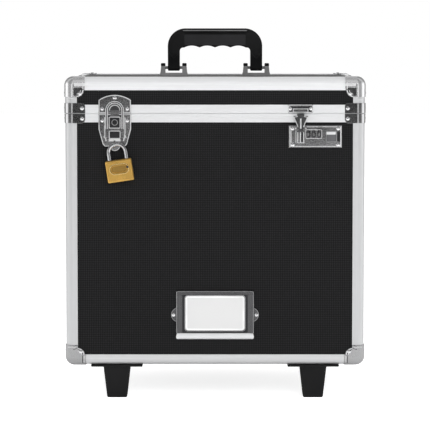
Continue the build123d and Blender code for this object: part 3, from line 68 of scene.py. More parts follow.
def joint_place(name):
    """Axis point of a joint at rest, in millimetres."""
    for joint in frame["record"]["behaviour"]["joints"]:
        if joint["name"] == name:
            return Vector(joint["pos_m"]) / MM
    raise RuntimeError(f"no joint called {name}")


SUBPARTS = {part["node"]: part for part in frame["record"]["subparts"]}
BODY_OF = {node: body for body, nodes in frame["record"]["behaviour"]["bodies"].items() for node in nodes}

# Case. Sizes are in millimetres down to the stage
post_low, post_high = node_box("body_corner_posts")
FRONT_Y = post_low.y
REAR_Y = post_high.y
HALF_WIDTH = post_high.x
PANEL_Y = node_box("body_front_panel")[0].y
SEAM_Z = (node_box("body_rim_corners")[1].z + node_box("lid_rim_corners")[0].z) / 2

# How far the middle of a wire lies behind the face that it is rolled on
WIRE_SINK = 0.1
RIM_SINK = 0.15
GROOVE_SINK = 0.2

# Ball corners: each leg ends in a round ear. Reaches are measured in from the side of the case, and rises
# from the middle of the ear. The level is 1 at the base, where the legs point up, and -1 at the top
EAR_INSET = 16.0
EAR_RADIUS = 9.0
EAR_LOW = post_low.z
EAR_HIGH = node_box("lid_corner_posts")[1].z
# Angle at which the quarter ring of an ear starts, by its side and its level
QUARTER_START = {(-1, 1): 0, (1, 1): 90, (1, -1): 180, (-1, -1): 270}
# Upright lines on a leg: reach, far end, near end. Line across a leg: start, end, rise
LEG_RIDGE = (24.0, 10.0, 2.0)
LEG_GROOVE = (22.4, 11.0, 1.0)
CROSS_RIDGE = (3.0, 13.0, 10.0)
CREASE_RISES = (7.4, 11.6)
CREASE_REACH = (9.5, 11, 12.5, 14, 15.5)
CREASE_WAVE = 0.9
STEP_REACH = (12.5, 26.5)
STEP_RISE = (5.2, 9.4)
HOLLOW_REACH = 11.8
HOLLOW_RISE = 3.2

# Hasp: (distance from its middle line, height from the seam) pairs, and patches as half width, low and high
HASP_X = joint_place("hasp_lever_turn").x
KEEPER_RISE = 2.0
HASP_FACE = node_box("hasp_strike_plate")[0].y + KEEPER_RISE
LEVER_THICKNESS = 4.5
LEVER_FACE = node_box("hasp_lever")[1].y - LEVER_THICKNESS
STRIKE_SHOULDER = 18.3
RIM_INSET = 0.9
BAIL_BEND = 4.4
BAIL_FOOT = -20.0
BAIL_EDGES = (11.7, 9.5)
KEEPER_MIDDLE = 4.2
KEEPER_RADIUS = 6.9
DOME_RADIUS = 6.0
BASE_RIM = ((20.6, -1.2), (20.6, -20.2), (15.5, -39.6), (13.1, -42.5))
BASE_RAIL = ((13.2, -5.0), (13.2, -25.0), (11.4, -36.0))
BASE_CURL = ((10.6, -29.5), (13.2, -27.4), (14.2, -31.0), (11.8, -33.4))
LOCK_DOOR = (6.5, -18.2, -5.0)
LEVER_RECESS = (6.5, -31.6, -23.4)
LEVER_FRAMES = ((7.1, -18.8, -4.4), (7.1, -32.3, -22.7))
LEVER_BAR = (7.6, -36.3, -33.0)
TAB_MIDDLE = -41.55
TAB_RADIUS = 6.7
KEY_RING = 3.7
# Keyway: half width, drop and rise from the middle of the key cylinder
KEY_SLOT = (0.7, 2.4, 1.2)

# Carry handle: the panel's rise from the feet and drop from the top, and a crease as (out, up) pairs
GRIP_HALF = 42.0
GRIP_PANEL = (35.2, 8.6)
GRIP_GROOVE_DROP = 5.8
GRIP_RIDGE_DROP = 3.2
HANDLE_CREASE = ((50.0, 24.0), (57.0, 17.0), (63.6, 26.0))

# Label holder: its plate without the ears, and its window
EAR_REACH = 6.5
LABEL_EAR_RADIUS = 10.0
LABEL_EAR_RISE = 32.5
WINDOW_HALF = 39.2
WINDOW_RISE = 11.4
WINDOW_HEIGHT = 46.1
label_low, label_high = node_box("label_frame")
LABEL_FRONT = label_low.y
LABEL_LOW = Vector((label_low.x + EAR_REACH, LABEL_FRONT, label_low.z))
LABEL_HIGH = Vector((label_high.x - EAR_REACH, LABEL_FRONT, label_high.z))
WINDOW_LOW = Vector((-WINDOW_HALF, LABEL_FRONT, LABEL_LOW.z + WINDOW_RISE))
WINDOW_HIGH = Vector((WINDOW_HALF, LABEL_FRONT, WINDOW_LOW.z + WINDOW_HEIGHT))
# Rows of the folded sheet: inset from the plate or the window, corner radius, depth behind the front
FOLD_OF_PLATE = ((0, 2.2, 1.5), (1.3, 2.0, 0.05), (4.2, 1.8, 0), (6.0, 1.6, 1.3))
FOLD_OF_WINDOW = ((-1.6, 4.4, 1.1), (0, 3.7, 1.9), (0, 3.7, 2.5))
# Rows of the lower lip: inset from the ends, rise, depth behind the front
LIP = ((2.6, 0.1, 1.4), (0.7, 1.2, 0.1), (0.1, 3.4, -0.35), (0.9, 7.4, -0.3), (2.4, 8.4, 0.4),
       (2.4, 8.4, 2.2), (2.4, 0.1, 2.2))
LIP_TOP = 8.0
# Border of the card: inset from the window and corner radius of its two edges
BORDER = ((0.2, 3.4), (2.6, 1.2))

# Padlock: half width, half height and corner radius of the rings of its plaque
PADLOCK_TILT = math.radians(8.5)
PLAQUE_Z = 2.3
PLAQUE_RIM = (12.4, 6.6, 6.4)
PLAQUE_LINE = (11.2, 5.4, 5.2)
PLAQUE_FLOOR = (9.9, 4.2, 4.1)
RIVET_AT = (11.0, 3.6)
RIVET_PROFILE = ((1.7, 0.3), (1.6, -0.1), (1.0, -0.3))
PLUG_AT = (-17.2, 0, 9.5)
PLUG_PROFILE = ((1.6, -0.1), (1.5, 0.35), (0.9, 0.5))

# Combination latch
COMBO_PROUD = 4.0
COMBO_LOW, COMBO_HIGH = node_box("combo_plate")
COMBO_FACE = FRONT_Y - COMBO_PROUD
DIAL_X = [joint_place(f"combo_dial_{i}_turn").x for i in (1, 2, 3)]
DIAL_Y = joint_place("combo_dial_1_turn").y
DIAL_Z = joint_place("combo_dial_1_turn").z
DIAL_SIDES = 10
DIAL_RADIUS = 5.2
DIAL_FLAT = DIAL_RADIUS * math.cos(math.pi / DIAL_SIDES)
# Window round the middles of the dials: beside and above. Surround of a dial: half width, half height and
# corner radius of its edge and of its opening
DIAL_WINDOW = (3.4, 5.6)
DIAL_SURROUND = ((2.3, 4.9, 2.2), (1.5, 3.9, 0.3))
FIGURE_DEPTH = 0.04
PAD_REACH = (3.0, 9.4)
PAD_END = 7.0
# Ribs of the lever: offset from its middle and radius
LEVER_RIBS = ((-3.9, 0.5), (3.9, 0.5), (-0.4, 0.55))

# Wheels: a shoulder as (drop from the tread, inset from the side) pairs, and spokes between two radii
TYRE_SHOULDER = ((5.0, 0.0), (1.6, 0.0), (0.5, 0.6), (0.0, 2.0))
TREAD_GROOVES = (-4.4, 0.0, 4.4)
SPOKE_COUNT = 6
SPOKE_REACH = (6.2, 13.2)
SPOKE_INSET = 3.3

# Stage, in metres and watts: name, place, target, side and power of each lamp
LAMPS = (("overhead", (0.2, -0.3, 2.4), (0, 0, 0.2), 1.8, 12),
         ("front", (0.3, -3.0, 1.3), (0, 0, 0.25), 1.6, 46),
         ("left_fill", (-2.6, -0.6, 1.2), (0, 0, 0.25), 1.5, 16),
         ("right_fill", (2.6, -0.8, 1.1), (0, 0, 0.25), 1.5, 14),
         ("rear_fill", (0.3, 3.0, 1.3), (0, 0, 0.25), 1.6, 34))
FLOOR_REACH = 12.0
FLOOR_GLOW = 0.78
SKY_DIM = 0.55
SKY_WHITE = 1.0

# Colours that follow no setting
# Light grey of the bright beads, rims, bars and bevels on the chrome: a painted highlight along their edges
PAINTED_HIGHLIGHT_GREY = (0.86, 0.86, 0.87)
# Top corners lighter than the chrome: painted light on the top corners
PAINTED_LIGHT_TOP_CORNER = (0.85, 0.85, 0.86)
SHADED_PLATE = (0.2, 0.2, 0.205)
FRAME_PLATE = (0.13, 0.13, 0.134)
# Dark steel of the real dark parts, and painted shade in recesses, slots, keyways, grooves and bands
DARK_STEEL_AND_SHADE = (0.06, 0.06, 0.063)
# Knurl crests lighter than its troughs: painted light and shade on the knurl
KNURL_LOW = (0.03, 0.03, 0.032)
KNURL_HIGH = (0.16, 0.16, 0.165)
# Light line along the handle's top shoulder: painted highlight
MOULDING_HIGHLIGHT = (0.17, 0.17, 0.172)
BORDER_WHITE = (0.95, 0.95, 0.95)
HUB_GREY = (0.06, 0.06, 0.064)
BUTTON_GREY = (0.1, 0.1, 0.105)
# Plaque rim lighter than the brass: painted highlight
BRASS_HIGHLIGHT = (0.95, 0.68, 0.3)
# Plaque line and floor darker than the brass: painted shade
BRASS_SHADED = (0.5, 0.3, 0.08)
CORE_STEEL = (0.3, 0.3, 0.31)
TUBE_STEEL = (0.72, 0.72, 0.73)
DIAL_STEEL = (0.2, 0.2, 0.205)
FLOOR_WHITE = (0.93, 0.93, 0.93)

# Scales of the fine lines left by drawing and brushing
LEVEL_LINES = (14, 14, 2600)
UPRIGHT_LINES = (2600, 2600, 14)
TURNED_LINES = (1500, 1500, 60)
ROLLED_LINES = (900, 900, 60)

FINISH_OF_SLOT = {"panel": "laminate", "extrusion": "rail", "chrome": "chrome", "rivet": "rivet",
                  "foot": "moulding", "handle": "moulding", "bracket": "bracket", "cap": "cap",
                  "steel": "steel", "tyre": "rubber", "hub": "hub", "brass": "brass", "shackle": "chrome",
                  "lock_core": "core", "dial": "dial", "tube": "tube", "grip": "moulding",
                  "button": "button", "card": "card"}

# Finish, width of the rounding in millimetres, and the nodes that get it
SOFT_EDGES = (("latch", 0.35, "hasp_strike_plate", "hasp_base_plate", "hasp_lever", "combo_plate",
               "combo_strike", "combo_lever", "hasp_bail"),
              ("shaded", 0.35, "combo_claw"),
              ("chrome", 0.3, "lid_rim_corners", "body_rim_corners"),
              # Top corners with painted light, base corners with painted shade
              ("top_corner", 0.3, "lid_top_corners"),
              ("corner", 0.3, "body_base_corners"),
              ("bracket", 0.6, "handle_brackets"),
              ("cap", 0.5, "handle_bracket_caps"),
              ("moulding", 1.6, "carry_handle"),
              ("moulding", 0.8, "front_feet"),
              ("moulding", 1.0, "pull_grip"),
              ("button", 0.4, "combo_button", "pull_button"),
              ("cap", 0.8, "pull_tube_brackets"),
              ("brass", 0.7, "padlock_case"),
              ("steel", 0.4, "wheel_brackets", "hinge_body_leaves", "hinge_lid_leaves", "file_rail_clips"))

FACE_FRONT = Matrix.Rotation(math.radians(90), 4, "X")


# Shapes
def linked(name, data):
    """Object of some mesh or curve, in the scene."""
    made = bpy.data.objects.new(name, data)
    bpy.context.scene.collection.objects.link(made)
    return made


def set_smooth(mesh, angle=35):
    """Smooth shading that keeps the edges sharper than an angle in degrees."""
    mesh.polygons.foreach_set("use_smooth", [True] * len(mesh.polygons))
    mesh.set_sharp_from_angle(angle=math.radians(angle))
    mesh.update()


def mesh_piece(name, points, faces, angle=35):
    """Piece from points in millimetres and faces."""
    mesh = bpy.data.meshes.new(name)
    mesh.from_pydata([[c * MM for c in p] for p in points], [], faces)
    mesh.validate()
    tidy = bmesh.new()
    tidy.from_mesh(mesh)
    bmesh.ops.remove_doubles(tidy, verts=tidy.verts, dist=0.00001)
    bmesh.ops.recalc_face_normals(tidy, faces=tidy.faces)
    tidy.to_mesh(mesh)
    tidy.free()
    set_smooth(mesh, angle)
    return linked(name, mesh)


def baked(source, matrix, angle=35):
    """Mesh piece from a curve object, moved by a matrix in metres."""
    bpy.context.view_layer.update()
    seen = source.evaluated_get(bpy.context.evaluated_depsgraph_get())
    mesh = bpy.data.meshes.new_from_object(seen)
    mesh.transform(matrix)
    name = source.name
    data = source.data
    bpy.data.objects.remove(source)
    bpy.data.curves.remove(data)
    set_smooth(mesh, angle)
    mesh.materials.clear()
    made = linked(name, mesh)
    made.name = name
    return made


def joined(name, pieces, angle=35):
    """One piece from several."""
    whole = bmesh.new()
    for piece in pieces:
        whole.from_mesh(piece.data)
    mesh = bpy.data.meshes.new(name)
    whole.to_mesh(mesh)
    whole.free()
    for piece in pieces:
        data = piece.data
        bpy.data.objects.remove(piece)
        bpy.data.meshes.remove(data)
    set_smooth(mesh, angle)
    return linked(name, mesh)


def moved(piece, matrix):
    """The piece with its mesh moved by a matrix in metres."""
    piece.data.transform(matrix)
    return piece


def finished(piece, body, slot, material, *replaced):
    """Give a piece its body and material, and hide what it stands for. The slot is not used."""
    piece.data.materials.clear()
    piece.data.materials.append(material)
    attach(piece, body)
    if replaced:
        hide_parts(*replaced)
    return piece


def arc(center_x, center_z, radius, start, end, steps=12):
    """Points along an arc, with angles in degrees."""
    return [(center_x + radius * math.cos(math.radians(start + (end - start) * i / steps)),
             center_z + radius * math.sin(math.radians(start + (end - start) * i / steps)))
            for i in range(steps + 1)]


def rounded_loop(x0, x1, z0, z1, radius, steps=6):
    """Rectangle with round corners, anticlockwise."""
    return (arc(x1 - radius, z0 + radius, radius, -90, 0, steps)
            + arc(x1 - radius, z1 - radius, radius, 0, 90, steps)
            + arc(x0 + radius, z1 - radius, radius, 90, 180, steps)
            + arc(x0 + radius, z0 + radius, radius, 180, 270, steps))


def inset_loop(low, high, inset, radius):
    """Rounded rectangle that lies inside the front of a box by an inset."""
    return rounded_loop(low.x + inset, high.x - inset, low.z + inset, high.z - inset, radius)


def centred_loop(x, z, half_width, half_height, radius, steps=6):
    """Rounded rectangle about a middle."""
    return rounded_loop(x - half_width, x + half_width, z - half_height, z + half_height, radius, steps)


def at_depth(y, outline):
    """Outline in X and Z as points at one depth."""
    return [(x, y, z) for x, z in outline]


def plate(name, loops, front, back, edge=0.3):
    """Plate with softened edges between two depths, from an outline and its holes in X and Z."""
    curve = bpy.data.curves.new(name, "CURVE")
    curve.dimensions = "2D"
    curve.fill_mode = "BOTH"
    for loop in loops:
        spline = curve.splines.new("POLY")
        spline.points.add(len(loop) - 1)
        for point, (x, z) in zip(spline.points, loop):
            point.co = (x * MM, z * MM, 0, 1)
        spline.use_cyclic_u = True
    curve.extrude = max((back - front) / 2 - edge, 0.001) * MM
    curve.bevel_depth = edge * MM
    curve.bevel_resolution = 2
    curve.offset = -edge * MM
    return baked(linked(name, curve), Matrix.Translation((0, (front + back) / 2 * MM, 0)) @ FACE_FRONT)


def bead(name, points, radius, closed=False):
    """Round wire along points in millimetres."""
    curve = bpy.data.curves.new(name, "CURVE")
    curve.dimensions = "3D"
    spline = curve.splines.new("POLY")
    spline.points.add(len(points) - 1)
    for node, point in zip(spline.points, points):
        node.co = (point[0] * MM, point[1] * MM, point[2] * MM, 1)
    spline.use_cyclic_u = closed
    curve.bevel_depth = radius * MM
    curve.bevel_resolution = 3
    curve.use_fill_caps = not closed
    return baked(linked(name, curve), Matrix.Identity(4), 60)


# Wires are bright by default: a painted highlight along rims and ridges
def wire(name, points, body, radius, finish="bright", slot="chrome", closed=False):
    """Round wire with its body and finish."""
    return finished(bead(name, points, radius, closed), body, slot, materials[finish])


# Plates are dark steel by default; in recesses, slots, keyways and bands this is painted shade
def inlay(name, loops, front, back, body, finish="dark_steel", slot="chrome", edge=0.3):
    """Plate with its body and finish."""
    return finished(plate(name, loops, front, back, edge), body, slot, materials[finish])


def lathe(name, profile, axis_point, axis, segments=40):
    """Turned piece: profile of (radius, distance along the axis) pairs in millimetres."""
    points, faces = [], []
    turn = Vector((0, 0, 1)).rotation_difference(Vector(axis)).to_matrix()
    for radius, along in profile:
        for k in range(segments):
            a = 2 * math.pi * k / segments
            rim = Vector((radius * math.cos(a), radius * math.sin(a), along))
            points.append(turn @ rim + Vector(axis_point))
    rows = len(profile)
    for this in range(0, (rows - 1) * segments, segments):
        for k in range(segments):
            n = (k + 1) % segments
            faces.append((this + k, this + n, this + segments + n, this + segments + k))
    faces.append(tuple(range(segments)))
    faces.append(tuple((rows - 1) * segments + k for k in range(segments)))
    return mesh_piece(name, points, faces)


def softened(node_name, width, angle=30):
    """Copy of a node's solid with its hard edges rounded, standing for that node."""
    node = frame["nodes"][node_name]
    shape = bmesh.new()
    shape.from_mesh(node.data)
    bmesh.ops.remove_doubles(shape, verts=shape.verts, dist=0.000002)
    bmesh.ops.dissolve_limit(shape, angle_limit=math.radians(0.6), verts=shape.verts, edges=shape.edges)
    hard = [e for e in shape.edges if len(e.link_faces) == 2 and e.calc_face_angle(0) > math.radians(angle)]
    bmesh.ops.bevel(shape, geom=hard, offset=width * MM, offset_type="OFFSET", segments=3, profile=0.5,
                    affect="EDGES", clamp_overlap=False)
    mesh = bpy.data.meshes.new(node_name + "_soft")
    shape.to_mesh(mesh)
    shape.free()
    set_smooth(mesh, 40)
    made = linked(node_name + "_soft", mesh)
    made.modifiers.new("even_shading", "WEIGHTED_NORMAL").keep_sharp = True
    return made


# Materials
class Nodes:
    """Small builder for one procedural material."""

    def __init__(self, name):
        self.material = bpy.data.materials.new(name)
        self.material.use_nodes = True
        self.tree = self.material.node_tree
        self.shader = self.tree.nodes["Principled BSDF"]
        self.coordinates = self.add("ShaderNodeTexCoord").outputs["Object"]

    def add(self, kind, **settings):
        node = self.tree.nodes.new(kind)
        for key, value in settings.items():
            setattr(node, key, value)
        return node

    def link(self, source, target):
        self.tree.links.new(source, target)

    def feed(self, socket, value):
        """Set a socket to a number or link it to an output."""
        if isinstance(value, (int, float)):
            socket.default_value = value
        else:
            self.link(value, socket)

    def math(self, operation, a, b=None):
        node = self.add("ShaderNodeMath", operation=operation)
        self.feed(node.inputs[0], a)
        if b is not None:
            self.feed(node.inputs[1], b)
        return node.outputs[0]

    def split(self, vector):
        node = self.add("ShaderNodeSeparateXYZ")
        self.link(vector, node.inputs[0])
        return node.outputs

    def crossed(self, across, along, pitch):
        """Two waves that cross at 45 degrees."""
        turns = 2 * math.pi / pitch
        return [self.math("SINE", self.math("MULTIPLY", self.math(way, across, along), turns))
                for way in ("ADD", "SUBTRACT")]

    def scaled(self, factors, vector=None):
        node = self.add("ShaderNodeMapping")
        node.inputs["Scale"].default_value = factors
        self.link(vector or self.coordinates, node.inputs["Vector"])
        return node.outputs[0]

    def noise(self, scale, detail=2.0, roughness=0.5, vector=None):
        node = self.add("ShaderNodeTexNoise")
        node.inputs["Scale"].default_value = scale
        node.inputs["Detail"].default_value = detail
        node.inputs["Roughness"].default_value = roughness
        self.link(vector or self.coordinates, node.inputs["Vector"])
        return node.outputs["Fac"]

    def ramp(self, value, low=0.0, high=1.0, from_low=0.3, from_high=0.7):
        node = self.add("ShaderNodeMapRange")
        node.inputs["From Min"].default_value = from_low
        node.inputs["From Max"].default_value = from_high
        node.inputs["To Min"].default_value = low
        node.inputs["To Max"].default_value = high
        self.link(value, node.inputs["Value"])
        return node.outputs[0]

    def tint(self, value, dark, light):
        node = self.add("ShaderNodeMix", data_type="RGBA")
        node.inputs["A"].default_value = (*dark, 1)
        node.inputs["B"].default_value = (*light, 1)
        self.link(value, node.inputs["Factor"])
        return node.outputs["Result"]

    def bump(self, height, strength, distance):
        node = self.add("ShaderNodeBump")
        node.inputs["Strength"].default_value = strength
        node.inputs["Distance"].default_value = distance
        self.link(height, node.inputs["Height"])
        self.link(node.outputs[0], self.shader.inputs["Normal"])

    def glow(self, strength):
        node = self.add("ShaderNodeEmission")
        self.feed(node.inputs["Strength"], strength)
        return node.outputs[0]

    def surface(self, output):
        self.link(output, self.tree.nodes["Material Output"].inputs["Surface"])

    def set(self, **values):
        for key, value in values.items():
            socket = self.shader.inputs[key.replace("_", " ").title().replace("Ior", "IOR")]
            if isinstance(value, tuple):
                socket.default_value = (*value, 1)
            else:
                self.feed(socket, value)


def tone(colour, factor):
    """Colour made lighter or darker by a factor."""
    return tuple(min(c * factor, 1.0) for c in colour)


def laminate_material(colours):
    """Black laminate embossed with small diamonds."""
    m = Nodes("embossed_laminate")
    x, y, z = m.split(m.coordinates)
    normal = m.split(m.add("ShaderNodeNewGeometry").outputs["True Normal"])
    flat = m.math("GREATER_THAN", m.math("ABSOLUTE", normal[2]), 0.5)
    wall = m.math("SUBTRACT", 1.0, flat)
    across = m.math("ADD", x, m.math("MULTIPLY", y, wall))
    along = m.math("ADD", m.math("MULTIPLY", z, wall), m.math("MULTIPLY", y, flat))
    diamonds = m.math("MULTIPLY", *m.crossed(across, along, colours.emboss_pitch * 2))
    raised = m.ramp(diamonds, from_low=-0.2, from_high=0.7)
    grain = m.noise(scale=900, detail=3)
    # Raised diamonds painted lighter and the hollows between them darker: painted light and shade on the
    # emboss
    m.set(base_color=m.tint(raised, tone(colours.laminate, 0.45), tone(colours.laminate, 2.3)),
          roughness=m.ramp(grain, 0.42, 0.55), specular_ior_level=0.14)
    m.bump(m.math("ADD", raised, m.math("MULTIPLY", grain, 0.15)), strength=0.55, distance=0.0002)
    return m.material


def anodised_material(name, colour, stretch, roughness=0.36):
    """Satin anodised aluminium with fine drawing lines along the profile."""
    m = Nodes(name)
    lines = m.noise(scale=1.0, detail=4, roughness=0.6, vector=m.scaled(stretch))
    cloud = m.noise(scale=9)
    m.set(base_color=m.tint(m.ramp(lines), tone(colour, 0.93), tone(colour, 1.04)), metallic=0.5,
          roughness=m.math("ADD", m.ramp(lines, roughness - 0.04, roughness + 0.05),
                           m.math("MULTIPLY", cloud, 0.04)))
    m.bump(lines, strength=0.08, distance=0.00005)
    return m.material


def plated_material(name, colour, roughness, grain_scale=160, worn=0.06, peel_depth=0.000006, metallic=1.0):
    """Polished plating with faint smudges and a slight orange peel."""
    m = Nodes(name)
    smudge = m.noise(scale=28, detail=3)
    peel = m.noise(grain_scale)
    m.set(base_color=m.tint(m.ramp(smudge), tone(colour, 0.9), tuple(colour)), metallic=metallic,
          roughness=m.ramp(smudge, roughness - worn / 3, roughness + worn))
    m.bump(peel, strength=1.0, distance=peel_depth)
    return m.material


def moulded_material(name, colour, roughness=0.42, grain=1400):
    """Moulded plastic with a fine spark-eroded grain."""
    m = Nodes(name)
    fine = m.noise(grain)
    cloud = m.noise(scale=35)
    m.set(base_color=m.tint(m.ramp(cloud), tone(colour, 0.85), tone(colour, 1.2)),
          roughness=m.ramp(fine, roughness - 0.06, roughness + 0.08), specular_ior_level=0.2)
    m.bump(fine, strength=0.35, distance=0.00008)
    return m.material


def brushed_material(name, colour, roughness, direction, stretch=(2600, 2600, 45)):
    """Metal brushed along a direction."""
    m = Nodes(name)
    turned = m.add("ShaderNodeMapping")
    turn = Vector(direction).rotation_difference(Vector((0, 0, 1)))
    turned.inputs["Rotation"].default_value = turn.to_euler()
    m.link(m.coordinates, turned.inputs["Vector"])
    lines = m.noise(scale=1.0, detail=3, roughness=0.6, vector=m.scaled(stretch, turned.outputs[0]))
    cloud = m.noise(scale=45)
    shade = m.math("ADD", m.math("MULTIPLY", lines, 0.4), m.math("MULTIPLY", cloud, 0.6))
    m.set(base_color=m.tint(m.ramp(shade), tone(colour, 0.82), tone(colour, 1.1)), metallic=1.0,
          roughness=m.ramp(lines, roughness - 0.04, roughness + 0.06))
    m.bump(lines, strength=0.06, distance=0.0001)
    return m.material


def hatched_material(pitch=0.0013):
    """Dark steel with a crossed knurl."""
    m = Nodes("hatched_steel")
    places = m.split(m.coordinates)
    waves = m.crossed(places[0], places[2], pitch)
    knurl = m.ramp(m.math("MAXIMUM", *waves), from_low=0.2, from_high=1)
    # Crests lighter, troughs darker: painted light and shade
    m.set(base_color=m.tint(knurl, KNURL_LOW, KNURL_HIGH), metallic=1.0, roughness=0.4)
    m.bump(knurl, strength=0.6, distance=0.0002)
    return m.material


def rubber_material(colour):
    """Matt rubber with dust in its low spots."""
    m = Nodes("tyre_rubber")
    dust = m.noise(scale=220, detail=4)
    m.set(base_color=m.tint(m.ramp(dust, from_low=0.45, from_high=0.8), tuple(colour), tone(colour, 2.2)),
          roughness=m.ramp(dust, 0.6, 0.8), specular_ior_level=0.3)
    m.bump(dust, strength=0.3, distance=0.0002)
    return m.material


def card_material(colour):
    """Plain uncoated card."""
    m = Nodes("blank_card")
    fibre = m.noise(scale=1500, detail=3)
    m.set(base_color=m.tint(m.ramp(fibre), tone(colour, 0.985), tuple(colour)), roughness=0.75,
          specular_ior_level=0.2)
    m.bump(fibre, strength=0.1, distance=0.00005)
    return m.material


materials = {}


def dress(material, *nodes):
    """Give carried-over nodes a material."""
    for name in nodes:
        node = frame["nodes"][name]
        if not node.material_slots:
            node.data.materials.append(material)
        for slot in node.material_slots:
            slot.link = "OBJECT"
            slot.material = material


class FileBoxColours(bpy.types.PropertyGroup):
    """Colours and finishes"""
    laminate: bpy.props.FloatVectorProperty(name="Laminate", description="Embossed black panels",
                                            subtype="COLOR", default=(0.0085, 0.0085, 0.009), min=0, max=1)
    emboss_pitch: bpy.props.FloatProperty(name="Emboss pitch", description="Between two rows of diamonds",
                                          subtype="DISTANCE", unit="LENGTH", default=0.0024, precision=4)
    aluminium: bpy.props.FloatVectorProperty(name="Aluminium", description="Edge extrusions",
                                             subtype="COLOR", default=(0.8, 0.805, 0.815), min=0, max=1)
    chrome: bpy.props.FloatVectorProperty(name="Chrome", description="Corners and latches", subtype="COLOR",
                                          default=(0.68, 0.68, 0.69), min=0, max=1)
    moulding: bpy.props.FloatVectorProperty(name="Moulding", description="Handle, feet and pull grip",
                                            subtype="COLOR", default=(0.0065, 0.0065, 0.007), min=0, max=1)
    bracket: bpy.props.FloatVectorProperty(name="Bracket", description="Handle brackets", subtype="COLOR",
                                           default=(0.17, 0.17, 0.172), min=0, max=1)
    brass: bpy.props.FloatVectorProperty(name="Brass", description="Padlock case", subtype="COLOR",
                                         default=(0.86, 0.52, 0.135), min=0, max=1)
    steel: bpy.props.FloatVectorProperty(name="Steel", description="Hinges, axles and brackets",
                                         subtype="COLOR", default=(0.6, 0.6, 0.61), min=0, max=1)
    rubber: bpy.props.FloatVectorProperty(name="Rubber", description="Tyres", subtype="COLOR",
                                          default=(0.02, 0.02, 0.02), min=0, max=1)
    card: bpy.props.FloatVectorProperty(name="Card", description="Blank label card", subtype="COLOR",
                                        default=(0.68, 0.68, 0.68), min=0, max=1)


class FileBoxSizes(bpy.types.PropertyGroup):
    """Sizes of the dressing, and the camera"""
    edge_softness: bpy.props.FloatProperty(name="Edge softness", description="Factor on the rounding of edges",
                                           subtype="FACTOR", default=1.0, min=0.1, max=1.5)
    figure_height: bpy.props.FloatProperty(name="Figure height", description="Height of the dials' figures",
                                           subtype="DISTANCE", unit="LENGTH", default=0.0026, precision=4)
    tread_depth: bpy.props.FloatProperty(name="Tread depth", description="Depth of the grooves of the tyres",
                                         subtype="DISTANCE", unit="LENGTH", default=0.0009, precision=4)
    camera_distance: bpy.props.FloatProperty(name="Camera distance", description="From the front face",
                                             subtype="DISTANCE", unit="LENGTH", default=3.0)
    camera_height: bpy.props.FloatProperty(name="Camera height", description="Height above the floor",
                                           subtype="DISTANCE", unit="LENGTH", default=0.4685)
    camera_tilt: bpy.props.FloatProperty(name="Camera tilt", description="Downward tilt of the camera",
                                         subtype="ANGLE", unit="ROTATION", default=math.radians(4.285))
    camera_lens: bpy.props.FloatProperty(name="Camera lens", description="Focal length over a 36 mm sensor",
                                         subtype="DISTANCE_CAMERA", unit="CAMERA", default=191.6)


